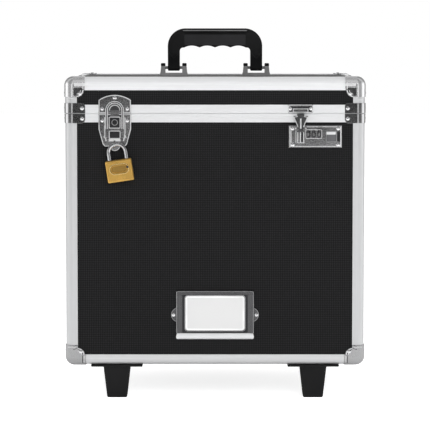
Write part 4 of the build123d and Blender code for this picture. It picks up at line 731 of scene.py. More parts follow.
class FILEBOX_OT_studio(bpy.types.Operator):
    """Set the camera, the pale floor, the lamps and the white surroundings"""
    bl_idname = "filebox.studio"
    bl_label = "Studio"

    def execute(self, context):
        sizes = context.scene.filebox_sizes
        scene = context.scene
        scene.view_settings.view_transform = "Standard"
        camera = linked("camera", bpy.data.cameras.new("camera"))
        camera.location = (0, FRONT_Y * MM - sizes.camera_distance, sizes.camera_height)
        camera.rotation_euler = (math.radians(90) - sizes.camera_tilt, 0, 0)
        camera.data.lens = sizes.camera_lens
        camera.data.sensor_width = 36
        camera.data.clip_end = 60
        scene.camera = camera
        self.floor()
        self.surroundings(scene)
        self.walls()
        for lamp in LAMPS:
            self.lamp(*lamp)
        return {"FINISHED"}

    def floor(self):
        """Pale floor that glows a little for the camera."""
        reach = FLOOR_REACH / MM
        corners = [(-reach, -reach, 0), (reach, -reach, 0), (reach, reach, 0), (-reach, reach, 0)]
        made = mesh_piece("floor", corners, [(0, 1, 2, 3)])
        m = Nodes("pale_floor")
        m.set(base_color=FLOOR_WHITE, roughness=0.9, specular_ior_level=0.1)
        path = m.add("ShaderNodeLightPath")
        seen = m.math("MAXIMUM", path.outputs["Is Camera Ray"], path.outputs["Is Transmission Ray"])
        both = m.add("ShaderNodeAddShader")
        mixed = m.add("ShaderNodeMixShader")
        m.link(m.shader.outputs[0], both.inputs[0])
        m.link(m.glow(FLOOR_GLOW), both.inputs[1])
        m.link(seen, mixed.inputs[0])
        m.link(m.shader.outputs[0], mixed.inputs[1])
        m.link(both.outputs[0], mixed.inputs[2])
        m.surface(mixed.outputs[0])
        made.data.materials.append(m.material)

    def surroundings(self, scene):
        """White world, dimmer as a lamp than where it is seen or mirrored."""
        world = bpy.data.worlds.new("white_surroundings")
        world.use_nodes = True
        scene.world = world
        tree = world.node_tree
        background = tree.nodes["Background"]
        background.inputs["Color"].default_value = (1, 1, 1, 1)
        path = tree.nodes.new("ShaderNodeLightPath")
        seen = path.outputs["Is Camera Ray"]
        for ray in ("Is Glossy Ray", "Is Transmission Ray"):
            either = tree.nodes.new("ShaderNodeMath")
            either.operation = "MAXIMUM"
            tree.links.new(seen, either.inputs[0])
            tree.links.new(path.outputs[ray], either.inputs[1])
            seen = either.outputs[0]
        strength = tree.nodes.new("ShaderNodeMapRange")
        strength.inputs["To Min"].default_value = SKY_DIM
        strength.inputs["To Max"].default_value = SKY_WHITE
        tree.links.new(seen, strength.inputs["Value"])
        tree.links.new(strength.outputs[0], background.inputs["Strength"])

    def walls(self):
        """Studio walls with bright fronts, dark corners and a dark ceiling, seen only in reflections."""
        radius, low, high, count = 4600, -1500, 3000, 96
        turns = [2 * math.pi * k / count for k in range(count)]
        points = []
        for z in (low, high):
            points += [(radius * math.cos(a), radius * math.sin(a), z) for a in turns]
        faces = [(k, (k + 1) % count, count + (k + 1) % count, count + k) for k in range(count)]
        faces.append(tuple(range(count, 2 * count)))
        m = Nodes("studio_wall")
        x, y, z = m.split(m.coordinates)
        bays = m.math("COSINE", m.math("MULTIPLY", m.math("ARCTAN2", y, x), 4.0))
        openings = m.ramp(bays, 0.15, 1.3, -0.5, 0.6)
        height = m.ramp(z, 1.0, 0.3, 1.3, 2.6)
        strength = m.math("MULTIPLY", openings, height)
        self.only_reflected(mesh_piece("studio_walls", points, faces), m, strength)
        half, near, low, high = 900, -3600, -300, 1500
        card = mesh_piece("black_card", [(-half, near, low), (half, near, low), (half, near, high),
                                         (-half, near, high)], [(0, 1, 2, 3)])
        self.only_reflected(card, Nodes("black_card"), 0.05)

    def only_reflected(self, made, m, strength):
        """Give a stage piece its glow, and keep it out of everything but mirror-like reflections."""
        m.surface(m.glow(strength))
        made.data.materials.append(m.material)
        made.visible_camera = False
        made.visible_diffuse = False
        made.visible_shadow = False
        made.visible_transmission = False

    def lamp(self, name, place, target, size, power):
        """Square lamp that isn't mirrored."""
        data = bpy.data.lights.new(name, "AREA")
        data.shape = "SQUARE"
        data.size = size
        data.energy = power
        made = linked(name, data)
        made.location = place
        made.rotation_euler = (Vector(target) - Vector(place)).to_track_quat("-Z", "Y").to_euler()
        made.visible_glossy = False


class FILEBOX_OT_finishes(bpy.types.Operator):
    """Mix the finishes and put them on the carried-over solids"""
    bl_idname = "filebox.finishes"
    bl_label = "Finishes"

    def execute(self, context):
        colours = context.scene.filebox_colours
        materials["laminate"] = laminate_material(colours)
        materials["hatched"] = hatched_material()
        materials["rubber"] = rubber_material(colours.rubber)
        materials["card"] = card_material(colours.card)
        self.extrusions(colours.aluminium)
        self.plates(colours.chrome, colours.steel)
        self.mouldings(colours)
        self.brushed(colours.brass)
        for part in frame["record"]["subparts"]:
            dress(materials[FINISH_OF_SLOT[part["material_slot"]]], part["node"])
        dress(materials["post"], "body_corner_posts", "lid_corner_posts")
        dress(materials["base_rail"], "body_base_extrusion")
        dress(materials["top_rail"], "lid_top_extrusion")
        return {"FINISHED"}

    def extrusions(self, aluminium):
        """Rails, posts and the rings of the base and the top, each as dark as it looks in the light: one
        aluminium, with painted shade on the posts and the base ring and painted light on the top ring.
        """
        for key, name, shade, stretch in (("rail", "anodised_rail", 1.0, LEVEL_LINES),
                                          ("post", "anodised_post", 0.78, UPRIGHT_LINES),
                                          ("base_rail", "anodised_base", 0.86, LEVEL_LINES),
                                          ("top_rail", "anodised_top", 1.12, LEVEL_LINES)):
            materials[key] = anodised_material(name, tone(aluminium, shade), stretch)

    def plates(self, chrome, steel):
        """Plated and polished sheet."""
        materials.update(
            # Bright beads, rims, bars and bevels: painted highlight, lighter and less mirror-like than the
            # chrome they sit on
            bright=plated_material("painted_highlight_edge", PAINTED_HIGHLIGHT_GREY, 0.28, metallic=0.55),
            latch=plated_material("latch_plate", tone(chrome, 0.8), 0.17, 420, 0.05, peel_depth=0.00005),
            shaded=plated_material("shaded_plate", SHADED_PLATE, 0.22, 300, 0.05, peel_depth=0.00004),
            # One chrome in two tones: painted light on the top corners, painted shade on the base corners
            top_corner=plated_material("top_corner_painted_light", PAINTED_LIGHT_TOP_CORNER, 0.15, 300, 0.05, peel_depth=0.00002,
                                       metallic=0.75),
            corner=plated_material("base_corner_painted_shade", tone(chrome, 0.68), 0.2, 300, 0.05, peel_depth=0.00005),
            chrome=plated_material("chrome_plate", chrome, 0.11, worn=0.03),
            rivet=plated_material("rivet_plate", tone(chrome, 1.35), 0.14),
            frame=plated_material("label_frame_plate", FRAME_PLATE, 0.24),
            # Dark steel, also used as painted shade in recesses, slots, keyways, grooves and bands
            dark_steel=plated_material("dark_steel", DARK_STEEL_AND_SHADE, 0.35),
            steel=plated_material("zinc_plate", steel, 0.34, 400, worn=0.1))

    def mouldings(self, colours):
        """Moulded plastic."""
        materials.update(
            moulding=moulded_material("black_moulding", colours.moulding, 0.44),
            # Lighter line on the handle's shoulder: painted highlight
            moulding_edge=moulded_material("black_moulding_highlight", MOULDING_HIGHLIGHT, 0.3),
            # Lighter black moulding for the grip panel and the crease lines of the handle
            moulding_light=moulded_material("black_moulding_lighter", tone(colours.moulding, 2.8), 0.4),
            cap=moulded_material("black_cap", tone(colours.moulding, 0.7), 0.35),
            bracket=moulded_material("grey_bracket", colours.bracket, 0.38, grain=900),
            white=moulded_material("white_border", BORDER_WHITE, 0.7),
            hub=moulded_material("grey_hub", HUB_GREY, 0.4),
            button=moulded_material("grey_button", BUTTON_GREY, 0.4))

    def brushed(self, brass):
        """Brushed metal, on the padlock along the line it hangs in."""
        hang = (-math.sin(PADLOCK_TILT), 0, math.cos(PADLOCK_TILT))
        materials.update(
            brass=brushed_material("brushed_brass", brass, 0.3, hang),
            # Lighter brass on the plaque rim: painted highlight; darker brass in its line and floor: painted
            # shade
            brass_light=brushed_material("brass_painted_highlight", BRASS_HIGHLIGHT, 0.25, hang),
            brass_dark=brushed_material("brass_shaded", BRASS_SHADED, 0.35, hang),
            core=brushed_material("lock_core_steel", CORE_STEEL, 0.32, (0, 1, 0), TURNED_LINES),
            tube=brushed_material("drawn_tube", TUBE_STEEL, 0.3, (0, 0, 1)),
            dial=brushed_material("dial_steel", DIAL_STEEL, 0.3, (1, 0, 0), ROLLED_LINES))


class FILEBOX_OT_soft_edges(bpy.types.Operator):
    """Stand rounded-edge copies in for the hard-edged metal and plastic solids"""
    bl_idname = "filebox.soft_edges"
    bl_label = "Soft edges"

    def execute(self, context):
        softness = context.scene.filebox_sizes.edge_softness
        for finish, width, *names in SOFT_EDGES:
            for name in names:
                slot = SUBPARTS[name]["material_slot"]
                finished(softened(name, width * softness), BODY_OF[name], slot, materials[finish], name)
        return {"FINISHED"}


class FILEBOX_OT_corner_ridges(bpy.types.Operator):
    """Press the raised ridges into the ball corners, round each ear and across each leg, bright with painted
    highlight and edged with dark lines of painted shade
    """
    bl_idname = "filebox.corner_ridges"
    bl_label = "Corner ridges"

    def execute(self, context):
        for node, body, level in (("lid_top_corners", "lid", -1), ("body_base_corners", "case_body", 1)):
            low, high = node_box(node)
            ridges, grooves = [], []
            for side, side_x in ((-1, low.x + WIRE_SINK), (1, high.x - WIRE_SINK)):
                for face_y, face, ear_y in ((low.y + WIRE_SINK, -1, FRONT_Y + EAR_INSET),
                                            (high.y - WIRE_SINK, 1, REAR_Y - EAR_INSET)):
                    ridges += self.ridges(side, level, face_y)
                    ring = [(side_x, y, z) for y, z in self.ring(ear_y, face, level, 1.3)]
                    ridges.append(bead("side_ear_ridge", ring, 0.55))
                grooves += self.grooves(side, level, low.y + GROOVE_SINK)
            # Ridges with painted highlight; dark lines beside them with painted shade
            finished(joined(node + "_ridges", ridges, 60), body, "chrome", materials["bright"])
            finished(joined(node + "_grooves", grooves, 60), body, "chrome", materials["dark_steel"])
        front = node_box("lid_top_corners")[0].y
        for side in (-1, 1):
            self.step_and_hollow(side, front - 0.02, front + 0.5)
        return {"FINISHED"}

    def ear_z(self, level):
        """Height of the middle of an ear."""
        return EAR_LOW if level > 0 else EAR_HIGH

    def ring(self, middle, side, level, inset):
        """Quarter ring inside the edge of an ear."""
        start = QUARTER_START[(side, level)]
        return arc(middle, self.ear_z(level), EAR_RADIUS - inset, start, start + 90)

    def leg_line(self, side, level, y, size):
        """Upright line on a leg, from its far end to the one near the ear."""
        reach, far, near = size
        x = side * (HALF_WIDTH - reach)
        return [(x, y, self.ear_z(level) - level * far), (x, y, self.ear_z(level) - level * near)]

    def ridges(self, side, level, y):
        """Bright ridges of one corner on the front or the rear, with painted highlight."""
        middle = side * (HALF_WIDTH - EAR_INSET)
        start, end, rise = CROSS_RIDGE
        z = self.ear_z(level) + level * rise
        cross = [(side * (HALF_WIDTH - reach), y, z) for reach in (start, end)]
        return [bead("ear_ridge", at_depth(y, self.ring(middle, side, level, 1.3)), 0.6),
                bead("inner_ear_ridge", at_depth(y, self.ring(middle, side, level, 4.0)), 0.5),
                bead("leg_ridge", self.leg_line(side, level, y, LEG_RIDGE), 0.5),
                bead("cross_ridge", cross, 0.5)]

    def grooves(self, side, level, y):
        """Dark lines beside the ridges of one front corner, with creases on the lower ones: painted shade
        along the pressed ridges.
        """
        ring = self.ring(side * (HALF_WIDTH - EAR_INSET), side, level, 2.6)
        pieces = [bead("ear_groove", at_depth(y, ring), 0.6)]
        if level > 0:
            pieces.append(bead("leg_groove", self.leg_line(side, level, y, LEG_GROOVE), 0.55))
            for rise in CREASE_RISES:
                z = self.ear_z(level) + rise
                crease = [(side * (HALF_WIDTH - reach), y, z + CREASE_WAVE * math.sin(reach))
                          for reach in CREASE_REACH]
                pieces.append(bead("crease", crease, 0.35))
        return pieces

    def step_and_hollow(self, side, front, back):
        """Bright step, a painted highlight, and shaded hollow, a painted dark reflection, in the front of one
        top corner.
        """
        x0, x1 = sorted(side * (HALF_WIDTH - reach) for reach in STEP_REACH)
        z0, z1 = (EAR_HIGH + rise for rise in STEP_RISE)
        inlay("corner_step", [rounded_loop(x0, x1, z0, z1, 0.8)], front, back, "lid", "bright", edge=0.2)
        middle = side * (HALF_WIDTH - EAR_INSET)
        ear = arc(middle, EAR_HIGH, EAR_RADIUS - 1.6, -90, 0 if side < 0 else -180, 8)
        edge_x = side * (HALF_WIDTH - HOLLOW_REACH)
        top = EAR_HIGH + HOLLOW_RISE
        loop = [(edge_x, top), (edge_x, ear[0][1]), *ear, (ear[-1][0], top)]
        inlay("corner_hollow", [loop], front, back, "lid", "shaded", edge=0.2)


class FILEBOX_OT_hasp_trim(bpy.types.Operator):
    """Roll the bright rims of the hasp plates, a painted highlight, and fit the lock door, the dark recesses,
    painted shade, and the dome
    """
    bl_idname = "filebox.hasp_trim"
    bl_label = "Hasp trim"

    def execute(self, context):
        self.strike()
        self.base_plate()
        self.lever()
        self.key_cylinder()
        return {"FINISHED"}

    def points(self, y, side, pairs):
        """Points on one side of the middle line, with heights from the seam."""
        return [(HASP_X + side * out, y, SEAM_Z + rise) for out, rise in pairs]

    def patch(self, half, low, high, radius, steps=6):
        """Rounded rectangle on the middle line, with heights from the seam."""
        return rounded_loop(HASP_X - half, HASP_X + half, SEAM_Z + low, SEAM_Z + high, radius, steps)

    def half_ring(self, middle, radius):
        """Upper half of a ring on the middle line."""
        return arc(HASP_X, SEAM_Z + middle, radius, 0, 180, 16)

    def strike(self):
        """Rims of the strike plate, the bail and the keeper, and the keeper's dome."""
        low, high = node_box("hasp_strike_plate")
        half = (high.x - low.x) / 2 - RIM_INSET
        top = high.z - 1
        rise = top - (SEAM_Z + STRIKE_SHOULDER - RIM_INSET)
        radius = (half * half + rise * rise) / (2 * rise)
        spread = math.degrees(math.asin(half / radius))
        crown = arc(HASP_X, top - radius, radius, 90 - spread, 90 + spread, 14)
        outline = [(HASP_X + half, low.z + 1), *crown, (HASP_X - half, low.z + 1)]
        wire("hasp_strike_rim", at_depth(HASP_FACE, outline), "lid", radius=0.6, closed=True)
        bail_y = node_box("hasp_bail")[0].y + RIM_SINK
        foot = SEAM_Z + BAIL_FOOT
        for radius in BAIL_EDGES:
            outline = [(HASP_X + radius, foot), *self.half_ring(BAIL_BEND, radius), (HASP_X - radius, foot)]
            wire("hasp_bail_edge", at_depth(bail_y, outline), "hasp_bail", radius=0.42)
        keeper = self.half_ring(KEEPER_MIDDLE, KEEPER_RADIUS)
        wire("hasp_keeper_rim", at_depth(low.y + WIRE_SINK, keeper), "lid", radius=0.45)
        dome = self.half_ring(KEEPER_MIDDLE, DOME_RADIUS)
        inlay("hasp_dome", [dome], low.y - 0.35, low.y, "lid", "hatched", edge=0.15)

    def base_plate(self):
        """Rim, upright rails and curled ears of the base plate."""
        outline = self.points(HASP_FACE, 1, BASE_RIM) + self.points(HASP_FACE, -1, reversed(BASE_RIM))
        wire("hasp_base_rim", outline, "case_body", radius=0.6, closed=True)
        for side in (-1, 1):
            wire("hasp_base_rail", self.points(HASP_FACE, side, BASE_RAIL), "case_body", radius=0.7)
            curl = self.points(HASP_FACE, side, BASE_CURL)
            wire("hasp_base_curl", curl, "case_body", radius=0.6, closed=True)

    def lever(self):
        """Lock door, recess with painted shade, frames, bright bar with painted highlight, and the rim of the
        tab.
        """
        y = LEVER_FACE
        door = self.patch(*LOCK_DOOR, 0.8)
        recess = self.patch(*LEVER_RECESS, 0.8)
        bar = self.patch(*LEVER_BAR, 0.9)
        inlay("hasp_lock_door", [door], y + 0.75, y + 1.39, "hasp_lever")
        # Dark sheet in the recess: painted shade
        inlay("hasp_lever_recess", [recess], y + 0.9, y + 1.2, "hasp_lever", edge=0.1)
        for size in LEVER_FRAMES:
            loop = at_depth(y, self.patch(*size, 1.0, 4))
            wire("hasp_lever_frame", loop, "hasp_lever", radius=0.45, closed=True)
        # Bright bar: painted highlight
        inlay("hasp_lever_bar", [bar], y - 0.25, y + 0.3, "hasp_lever", "bright", edge=0.25)
        tab = arc(HASP_X, SEAM_Z + TAB_MIDDLE, TAB_RADIUS, 185, 355, 18)
        wire("hasp_tab_rim", at_depth(y + WIRE_SINK, tab), "hasp_lever", radius=0.55)

    def key_cylinder(self):
        """Ring and keyway of the key cylinder, the keyway a dark plate of painted shade."""
        low, high = node_box("hasp_key_cylinder")
        x, z = (low.x + high.x) / 2, (low.z + high.z) / 2
        ring = at_depth(low.y + WIRE_SINK, arc(x, z, KEY_RING, 0, 345, 23))
        wire("hasp_key_ring", ring, "hasp_key_cylinder", 0.5, "steel", "lock_core", closed=True)
        half, drop, rise = KEY_SLOT
        # Dark keyway: painted shade in the slot
        keyway = rounded_loop(x - half, x + half, z - drop, z + rise, 0.5)
        inlay("hasp_key_slot", [keyway], low.y - 0.06, low.y + 0.3, "hasp_key_cylinder", slot="lock_core",
              edge=0.04)


class FILEBOX_OT_handle_trim(bpy.types.Operator):
    """Mould the grip panel, its groove with painted shade, the ridge line with painted highlight, and the
    creases of the carry handle
    """
    bl_idname = "filebox.handle_trim"
    bl_label = "Handle trim"

    def execute(self, context):
        low, high = node_box("carry_handle")
        for side, face in ((-1, low.y), (1, high.y)):
            groove_y = face + side * 0.35
            ridge_y = face - side * 0.25
            # Groove line in the darker cap moulding: painted shade; ridge line above it: painted highlight
            self.line(GRIP_HALF, groove_y, high.z - GRIP_GROOVE_DROP, 0.9, "cap")
            self.line(GRIP_HALF + 2, ridge_y, high.z - GRIP_RIDGE_DROP, 0.7, "moulding_edge")
            rise, drop = GRIP_PANEL
            panel = rounded_loop(-GRIP_HALF, GRIP_HALF, low.z + rise, high.z - drop, 1.5)
            front, back = sorted((ridge_y, face))
            inlay("handle_grip_panel", [panel], front - 0.1, back + 0.1, "carry_handle", "moulding_light",
                  "handle", edge=0.15)
            for end in (-1, 1):
                crease = [(end * out, face - side * 0.1, low.z + up) for out, up in HANDLE_CREASE]
                wire("handle_line", crease, "carry_handle", 0.3, "moulding_light", "handle")
        return {"FINISHED"}

    def line(self, half, y, z, radius, finish):
        """Level line across the grip."""
        wire("handle_line", [(-half, y, z), (half, y, z)], "carry_handle", radius, finish, "handle")


class FILEBOX_OT_label(bpy.types.Operator):
    """Fold the mitred label frame and slip in the blank card with its pale border"""
    bl_idname = "filebox.label"
    bl_label = "Label holder"

    def execute(self, context):
        pieces = [self.fold()]
        for side in (-1, 1):
            pieces.append(plate("ear", [self.ear(side, LABEL_EAR_RADIUS, 90, 18)], PANEL_Y - 1.25, PANEL_Y))
        holder = joined("label_frame_folded", pieces, 25)
        finished(holder, "case_body", "chrome", materials["frame"], "label_frame")
        self.lower_lip()
        self.bright_lines()
        low, high = node_box("label_card")
        outline = rounded_loop(low.x + 0.1, high.x - 0.1, low.z + 0.1, high.z - 0.2, 0.6)
        card = plate("label_paper", [outline], PANEL_Y - 0.65, PANEL_Y - 0.1, 0.05)
        finished(card, "label_card", "card", materials["card"], "label_card")
        border = [inset_loop(WINDOW_LOW, WINDOW_HIGH, *size) for size in BORDER]
        inlay("label_paper_border", border, PANEL_Y - 0.75, PANEL_Y - 0.62, "label_card", "white", "card",
              edge=0.03)
        return {"FINISHED"}

    def ear(self, side, radius, spread, steps):
        """Outer arc of an ear, spread to both sides of its tip."""
        tip = 0 if side > 0 else 180
        x, z = side * (label_high.x - LABEL_EAR_RADIUS), LABEL_LOW.z + LABEL_EAR_RISE
        return arc(x, z, radius, tip - spread, tip + spread, steps)

    def fold(self):
        """Sheet that runs from the panel over the front and back down into the window."""
        rows = [at_depth(PANEL_Y, inset_loop(LABEL_LOW, LABEL_HIGH, *FOLD_OF_PLATE[0][:2]))]
        for low, high, fold in ((LABEL_LOW, LABEL_HIGH, FOLD_OF_PLATE),
                                (WINDOW_LOW, WINDOW_HIGH, FOLD_OF_WINDOW)):
            rows += [at_depth(LABEL_FRONT + depth, inset_loop(low, high, inset, radius))
                     for inset, radius, depth in fold]
        count = len(rows[0])
        total = count * len(rows)
        faces = []
        for this in range(0, total, count):
            after = (this + count) % total
            faces += [(this + k, this + (k + 1) % count, after + (k + 1) % count, after + k)
                      for k in range(count)]
        return mesh_piece("label_holder", [point for row in rows for point in row], faces, 25)

    def lower_lip(self):
        """Turned lower lip, bright aluminium: a painted reflection of the pale floor."""
        points = []
        for inset, rise, depth in LIP:
            y, z = LABEL_FRONT + depth, LABEL_LOW.z + rise
            points += [(LABEL_LOW.x + inset, y, z), (LABEL_HIGH.x - inset, y, z)]
        rows = len(LIP)
        faces = [(2 * k, 2 * k + 1, 2 * ((k + 1) % rows) + 1, 2 * ((k + 1) % rows)) for k in range(rows)]
        faces += [tuple(2 * k for k in range(rows)), tuple(2 * k + 1 for k in range(rows))]
        finished(mesh_piece("label_lower_lip", points, faces, 50), "case_body", "chrome", materials["rail"])

    def bright_lines(self):
        """Fine bright lines round the frame and its ears, painted highlights on its edges, and the dark band
        inside them, a painted shadow.
        """
        y, lip_z = LABEL_FRONT, LABEL_LOW.z + LIP_TOP
        low, high = WINDOW_LOW, WINDOW_HIGH
        outer = rounded_loop(LABEL_LOW.x + 0.9, LABEL_HIGH.x - 0.9, lip_z, LABEL_HIGH.z - 0.9, 1.4)
        inner = inset_loop(low, high, -0.7, 4.0)
        lines = [bead("label_line", at_depth(y + 0.25, outer), 0.35, closed=True),
                 bead("label_line", at_depth(y + 1.5, inner), 0.4, closed=True)]
        band = [rounded_loop(low.x - 4.0, high.x + 4.0, lip_z + 0.6, high.z + 2.8, 1.5),
                inset_loop(low, high, -1.0, 4.0)]
        inlay("label_shadow_band", band, y + 0.9, y + 1.6, "case_body", edge=0.1)
        for side in (-1, 1):
            ear = self.ear(side, LABEL_EAR_RADIUS - 0.6, 66, 16)
            lines.append(bead("label_line", at_depth(PANEL_Y - 1.2, ear), 0.4))
        finished(joined("label_bright_lines", lines, 60), "case_body", "chrome", materials["steel"])


class FILEBOX_OT_padlock(bpy.types.Operator):
    """Set the padlock's bare plaque with its rims, its rivet and its side plug"""
    bl_idname = "filebox.padlock"
    bl_label = "Padlock trim"

    def execute(self, context):
        low, high = node_box("padlock_case")
        front = -(high.y - low.y) / 2
        tilt = Matrix.Translation((low + high) / 2 * MM) @ Matrix.Rotation(-PADLOCK_TILT, 4, "Y")
        rivet_x, rivet_z = RIVET_AT
        floor = centred_loop(0, PLAQUE_Z, *PLAQUE_FLOOR, 8)
        pieces = (
            # Rim with painted highlight, line and floor with painted shade
            (self.ring("padlock_plaque_rim", front + 0.45, PLAQUE_RIM, 0.75), "brass", "brass_light"),
            (self.ring("padlock_plaque_line", front + 0.3, PLAQUE_LINE, 0.5), "brass", "brass_dark"),
            (plate("padlock_plaque_floor", [floor], front + 0.3, front + 0.6, 0.05), "brass", "brass_dark"),
            (lathe("padlock_rivet", RIVET_PROFILE, (rivet_x, front, rivet_z), (0, 1, 0), 20), "lock_core",
             "dark_steel"),
            (lathe("padlock_side_plug", PLUG_PROFILE, PLUG_AT, (-1, 0, 0), 20), "brass", "brass"))
        for piece, slot, finish in pieces:
            finished(moved(piece, tilt), "padlock_case", slot, materials[finish])
        return {"FINISHED"}

    def ring(self, name, y, size, radius):
        """Wire round the plaque."""
        return bead(name, at_depth(y, centred_loop(0, PLAQUE_Z, *size, 8)), radius, closed=True)


class FILEBOX_OT_combination_trim(bpy.types.Operator):
    """Bead the combination plate with painted highlight, darken its slots with painted shade and number its
    dials
    """
    bl_idname = "filebox.combination_trim"
    bl_label = "Combination trim"

    def execute(self, context):
        self.face_plate()
        self.dials(context.scene.filebox_sizes.figure_height)
        self.button()
        self.lever()
        self.strike()
        return {"FINISHED"}

    def face_plate(self):
        """Beaded edge of the plate and the raised pad beside the lever."""
        low, high, y = COMBO_LOW, COMBO_HIGH, COMBO_FACE
        rim = at_depth(y + RIM_SINK, inset_loop(low, high, 1.9, 0.8))
        wire("combo_plate_rim", rim, "case_body", radius=0.42, closed=True)
        edge = at_depth(y + 1.5, inset_loop(low, high, 0.6, 1.2))
        wire("combo_plate_edge", edge, "case_body", radius=0.4, finish="latch", closed=True)
        start, end = PAD_REACH
        bottom, top = low.z + PAD_END, high.z - PAD_END
        pad = rounded_loop(low.x + start, low.x + end, bottom, top, 0.8)
        inlay("combo_left_pad", [pad], y - 0.55, y + 0.3, "case_body", "latch", edge=0.25)
        for x in (low.x + start + 0.2, low.x + end):
            wire("combo_pad_line", [(x, y - 0.3, bottom), (x, y - 0.3, top)], "case_body", radius=0.5)

    def dials(self, figure_height):
        """Rim of the dial window with painted highlight, the dark surrounds with painted shade, and the
        figures.
        """
        beside, above = DIAL_WINDOW
        window = rounded_loop(DIAL_X[0] - beside, DIAL_X[2] + beside, DIAL_Z - above, DIAL_Z + above, 1.2)
        wire("dial_window_rim", at_depth(COMBO_FACE - 0.02, window), "case_body", radius=0.4, closed=True)
        for x in DIAL_X:
            loops = [centred_loop(x, DIAL_Z, *size) for size in DIAL_SURROUND]
            inlay("dial_surround", loops, COMBO_FACE - 0.3, COMBO_FACE + 0.1, "case_body", edge=0.1)
        for index, x in enumerate(DIAL_X):
            self.figures(index, x, figure_height)

    def figures(self, index, x, height):
        """Generic figures from 0 to 9 round one dial."""
        pieces = []
        for digit in range(DIAL_SIDES):
            data = bpy.data.curves.new("figure", "FONT")
            data.body = str(digit)
            data.size = height
            data.align_x = "CENTER"
            data.align_y = "CENTER"
            data.extrude = FIGURE_DEPTH * MM
            around = Matrix.Rotation(2 * math.pi * digit / DIAL_SIDES, 4, "X")
            seat = Matrix.Translation(Vector((x, DIAL_Y, DIAL_Z)) * MM)
            out = Matrix.Translation((0, -(DIAL_FLAT + FIGURE_DEPTH / 2) * MM, 0))
            pieces.append(baked(linked("figure", data), seat @ around @ out @ FACE_FRONT))
        figures = joined(f"combo_dial_{index + 1}_figures", pieces)
        finished(figures, f"combo_dial_{index + 1}", "dial", materials["white"])

    def button(self):
        """Bevel and edge of the release button, with painted highlight, and the track it slides along, a dark
        strip of painted shade.
        """
        low, high = node_box("combo_button")
        bevel = rounded_loop(low.x + 0.8, high.x - 1.6, high.z - 4.4, high.z - 0.7, 0.9)
        inlay("combo_button_bevel", [bevel], low.y - 0.04, low.y + 0.5, "combo_button", "bright", "button",
              edge=0.2)
        edge = at_depth(low.y + 0.35, inset_loop(low, high, 0.5, 1.2))
        wire("combo_button_edge", edge, "combo_button", 0.4, "steel", "button", closed=True)
        track = rounded_loop(high.x + 0.2, COMBO_HIGH.x - 2.0, low.z + 0.6, high.z - 0.4, 0.8)
        inlay("button_track", [track], COMBO_FACE - 0.06, COMBO_FACE + 0.2, "case_body", edge=0.04)

    def lever(self):
        """Bright ribs with painted highlight and dark slot with painted shade of the lever, and the ribs of
        its claw.
        """
        low, high = node_box("combo_lever")
        x = (low.x + high.x) / 2
        for offset, radius in LEVER_RIBS:
            rib = at_depth(low.y + WIRE_SINK, [(x + offset, low.z + 1.6), (x + offset, high.z - 8)])
            wire("combo_lever_rib", rib, "combo_lever", radius)
        slot = rounded_loop(x + 0.8, x + 2.9, low.z + 2, high.z - 8.4, 0.6)
        inlay("combo_lever_slot", [slot], low.y - 0.05, low.y + 0.2, "combo_lever", edge=0.04)
        low, high = node_box("combo_claw")
        rib = at_depth(low.y + WIRE_SINK, [(x, low.z + 5), (x, high.z - 6)])
        wire("combo_claw_rib", rib, "combo_claw", radius=0.9)
        for side in (-1, 1):
            edge = [(x + side * 3.6, low.z + 7), (x + side * 8.6, high.z - 4.2),
                    (x + side * 4.2, high.z - 3.2)]
            wire("combo_claw_edge", at_depth(low.y + RIM_SINK, edge), "combo_claw", radius=0.5)

    def strike(self):
        """Dark band and rims of the strike on the lid."""
        low, high = node_box("combo_strike")
        inlay("combo_strike_band", [rounded_loop(low.x + 5.5, high.x - 5.5, low.z + 6.6, low.z + 8.1, 0.5)],
              low.y - 0.06, low.y + 0.2, "lid", edge=0.04)
        rim = at_depth(low.y + 3.1, inset_loop(low, high, 0.9, 1.0))
        wire("combo_strike_rim", rim, "lid", radius=0.6, closed=True)
        box_rim = rounded_loop(low.x + 6.8, high.x - 6.8, low.z + 1.2, low.z + 5.6, 0.5)
        wire("combo_strike_box_rim", at_depth(low.y + RIM_SINK, box_rim), "lid", radius=0.4, closed=True)


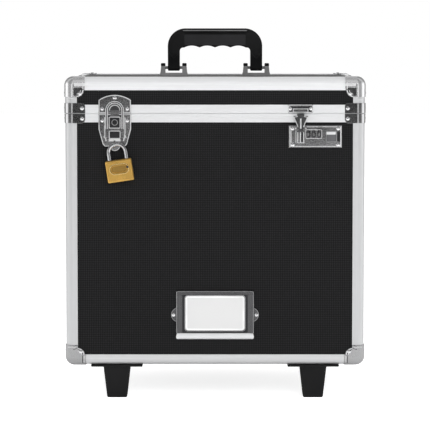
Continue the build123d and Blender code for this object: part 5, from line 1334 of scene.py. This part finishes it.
class FILEBOX_OT_wheels(bpy.types.Operator):
    """Cut the tread of the tyres and fit the spokes of the hubs"""
    bl_idname = "filebox.wheels"
    bl_label = "Wheel tread"

    def execute(self, context):
        depth = context.scene.filebox_sizes.tread_depth / MM
        for side in ("left", "right"):
            low, high = node_box(f"wheel_{side}_tyre")
            axle = joint_place(f"wheel_{side}_spin")
            radius, half = (high.z - low.z) / 2, (high.x - low.x) / 2
            tread = lathe(f"wheel_{side}_tread", self.profile(radius, half, depth), axle, (1, 0, 0), 72)
            finished(tread, f"wheel_{side}", "tyre", materials["rubber"], f"wheel_{side}_tyre")
            spokes = []
            for k in range(SPOKE_COUNT):
                angle = 2 * math.pi * k / SPOKE_COUNT
                turn = Matrix.Translation(axle * MM) @ Matrix.Rotation(angle, 4, "X")
                for x in (SPOKE_INSET - half, half - SPOKE_INSET):
                    spokes.append(moved(bead("spoke", [(x, 0, reach) for reach in SPOKE_REACH], 1.0), turn))
            finished(joined(f"wheel_{side}_spokes", spokes, 60), f"wheel_{side}", "hub", materials["hub"])
        return {"FINISHED"}

    def profile(self, radius, half, depth):
        """Half section of a tyre: rounded shoulders and three grooves round the tread."""
        shoulder = [(radius - drop, half - inset) for drop, inset in TYRE_SHOULDER]
        floor = radius - depth
        tread = []
        for groove in TREAD_GROOVES:
            tread += [(radius, groove - 1.0), (floor, groove - 0.6), (floor, groove + 0.6),
                      (radius, groove + 1.0)]
        return [(r, -x) for r, x in shoulder] + tread + shoulder[::-1]


class FILEBOX_PT_panel(bpy.types.Panel):
    """Lists the file box steps"""
    bl_label = "File Box"
    bl_idname = "FILEBOX_PT_panel"
    bl_space_type = "VIEW_3D"
    bl_region_type = "UI"
    bl_category = "File Box"

    def draw(self, context):
        for operator in OPERATORS:
            self.layout.operator(operator.bl_idname)
        for group in (context.scene.filebox_colours, context.scene.filebox_sizes):
            for name in group.bl_rna.properties.keys():
                if name not in ("rna_type", "name"):
                    self.layout.prop(group, name)


OPERATORS = (FILEBOX_OT_studio, FILEBOX_OT_finishes, FILEBOX_OT_soft_edges, FILEBOX_OT_corner_ridges,
             FILEBOX_OT_hasp_trim, FILEBOX_OT_handle_trim, FILEBOX_OT_label, FILEBOX_OT_padlock,
             FILEBOX_OT_combination_trim, FILEBOX_OT_wheels)
CLASSES = (FileBoxColours, FileBoxSizes, *OPERATORS, FILEBOX_PT_panel)


def register():
    for cls in CLASSES:
        bpy.utils.register_class(cls)
    bpy.types.Scene.filebox_colours = bpy.props.PointerProperty(type=FileBoxColours)
    bpy.types.Scene.filebox_sizes = bpy.props.PointerProperty(type=FileBoxSizes)


def unregister():
    del bpy.types.Scene.filebox_sizes
    del bpy.types.Scene.filebox_colours
    for cls in reversed(CLASSES):
        bpy.utils.unregister_class(cls)


def main():
    register()
    for operator in OPERATORS:
        group, name = operator.bl_idname.split(".")
        getattr(getattr(bpy.ops, group), name)()


if __name__ == "__main__":
    main()
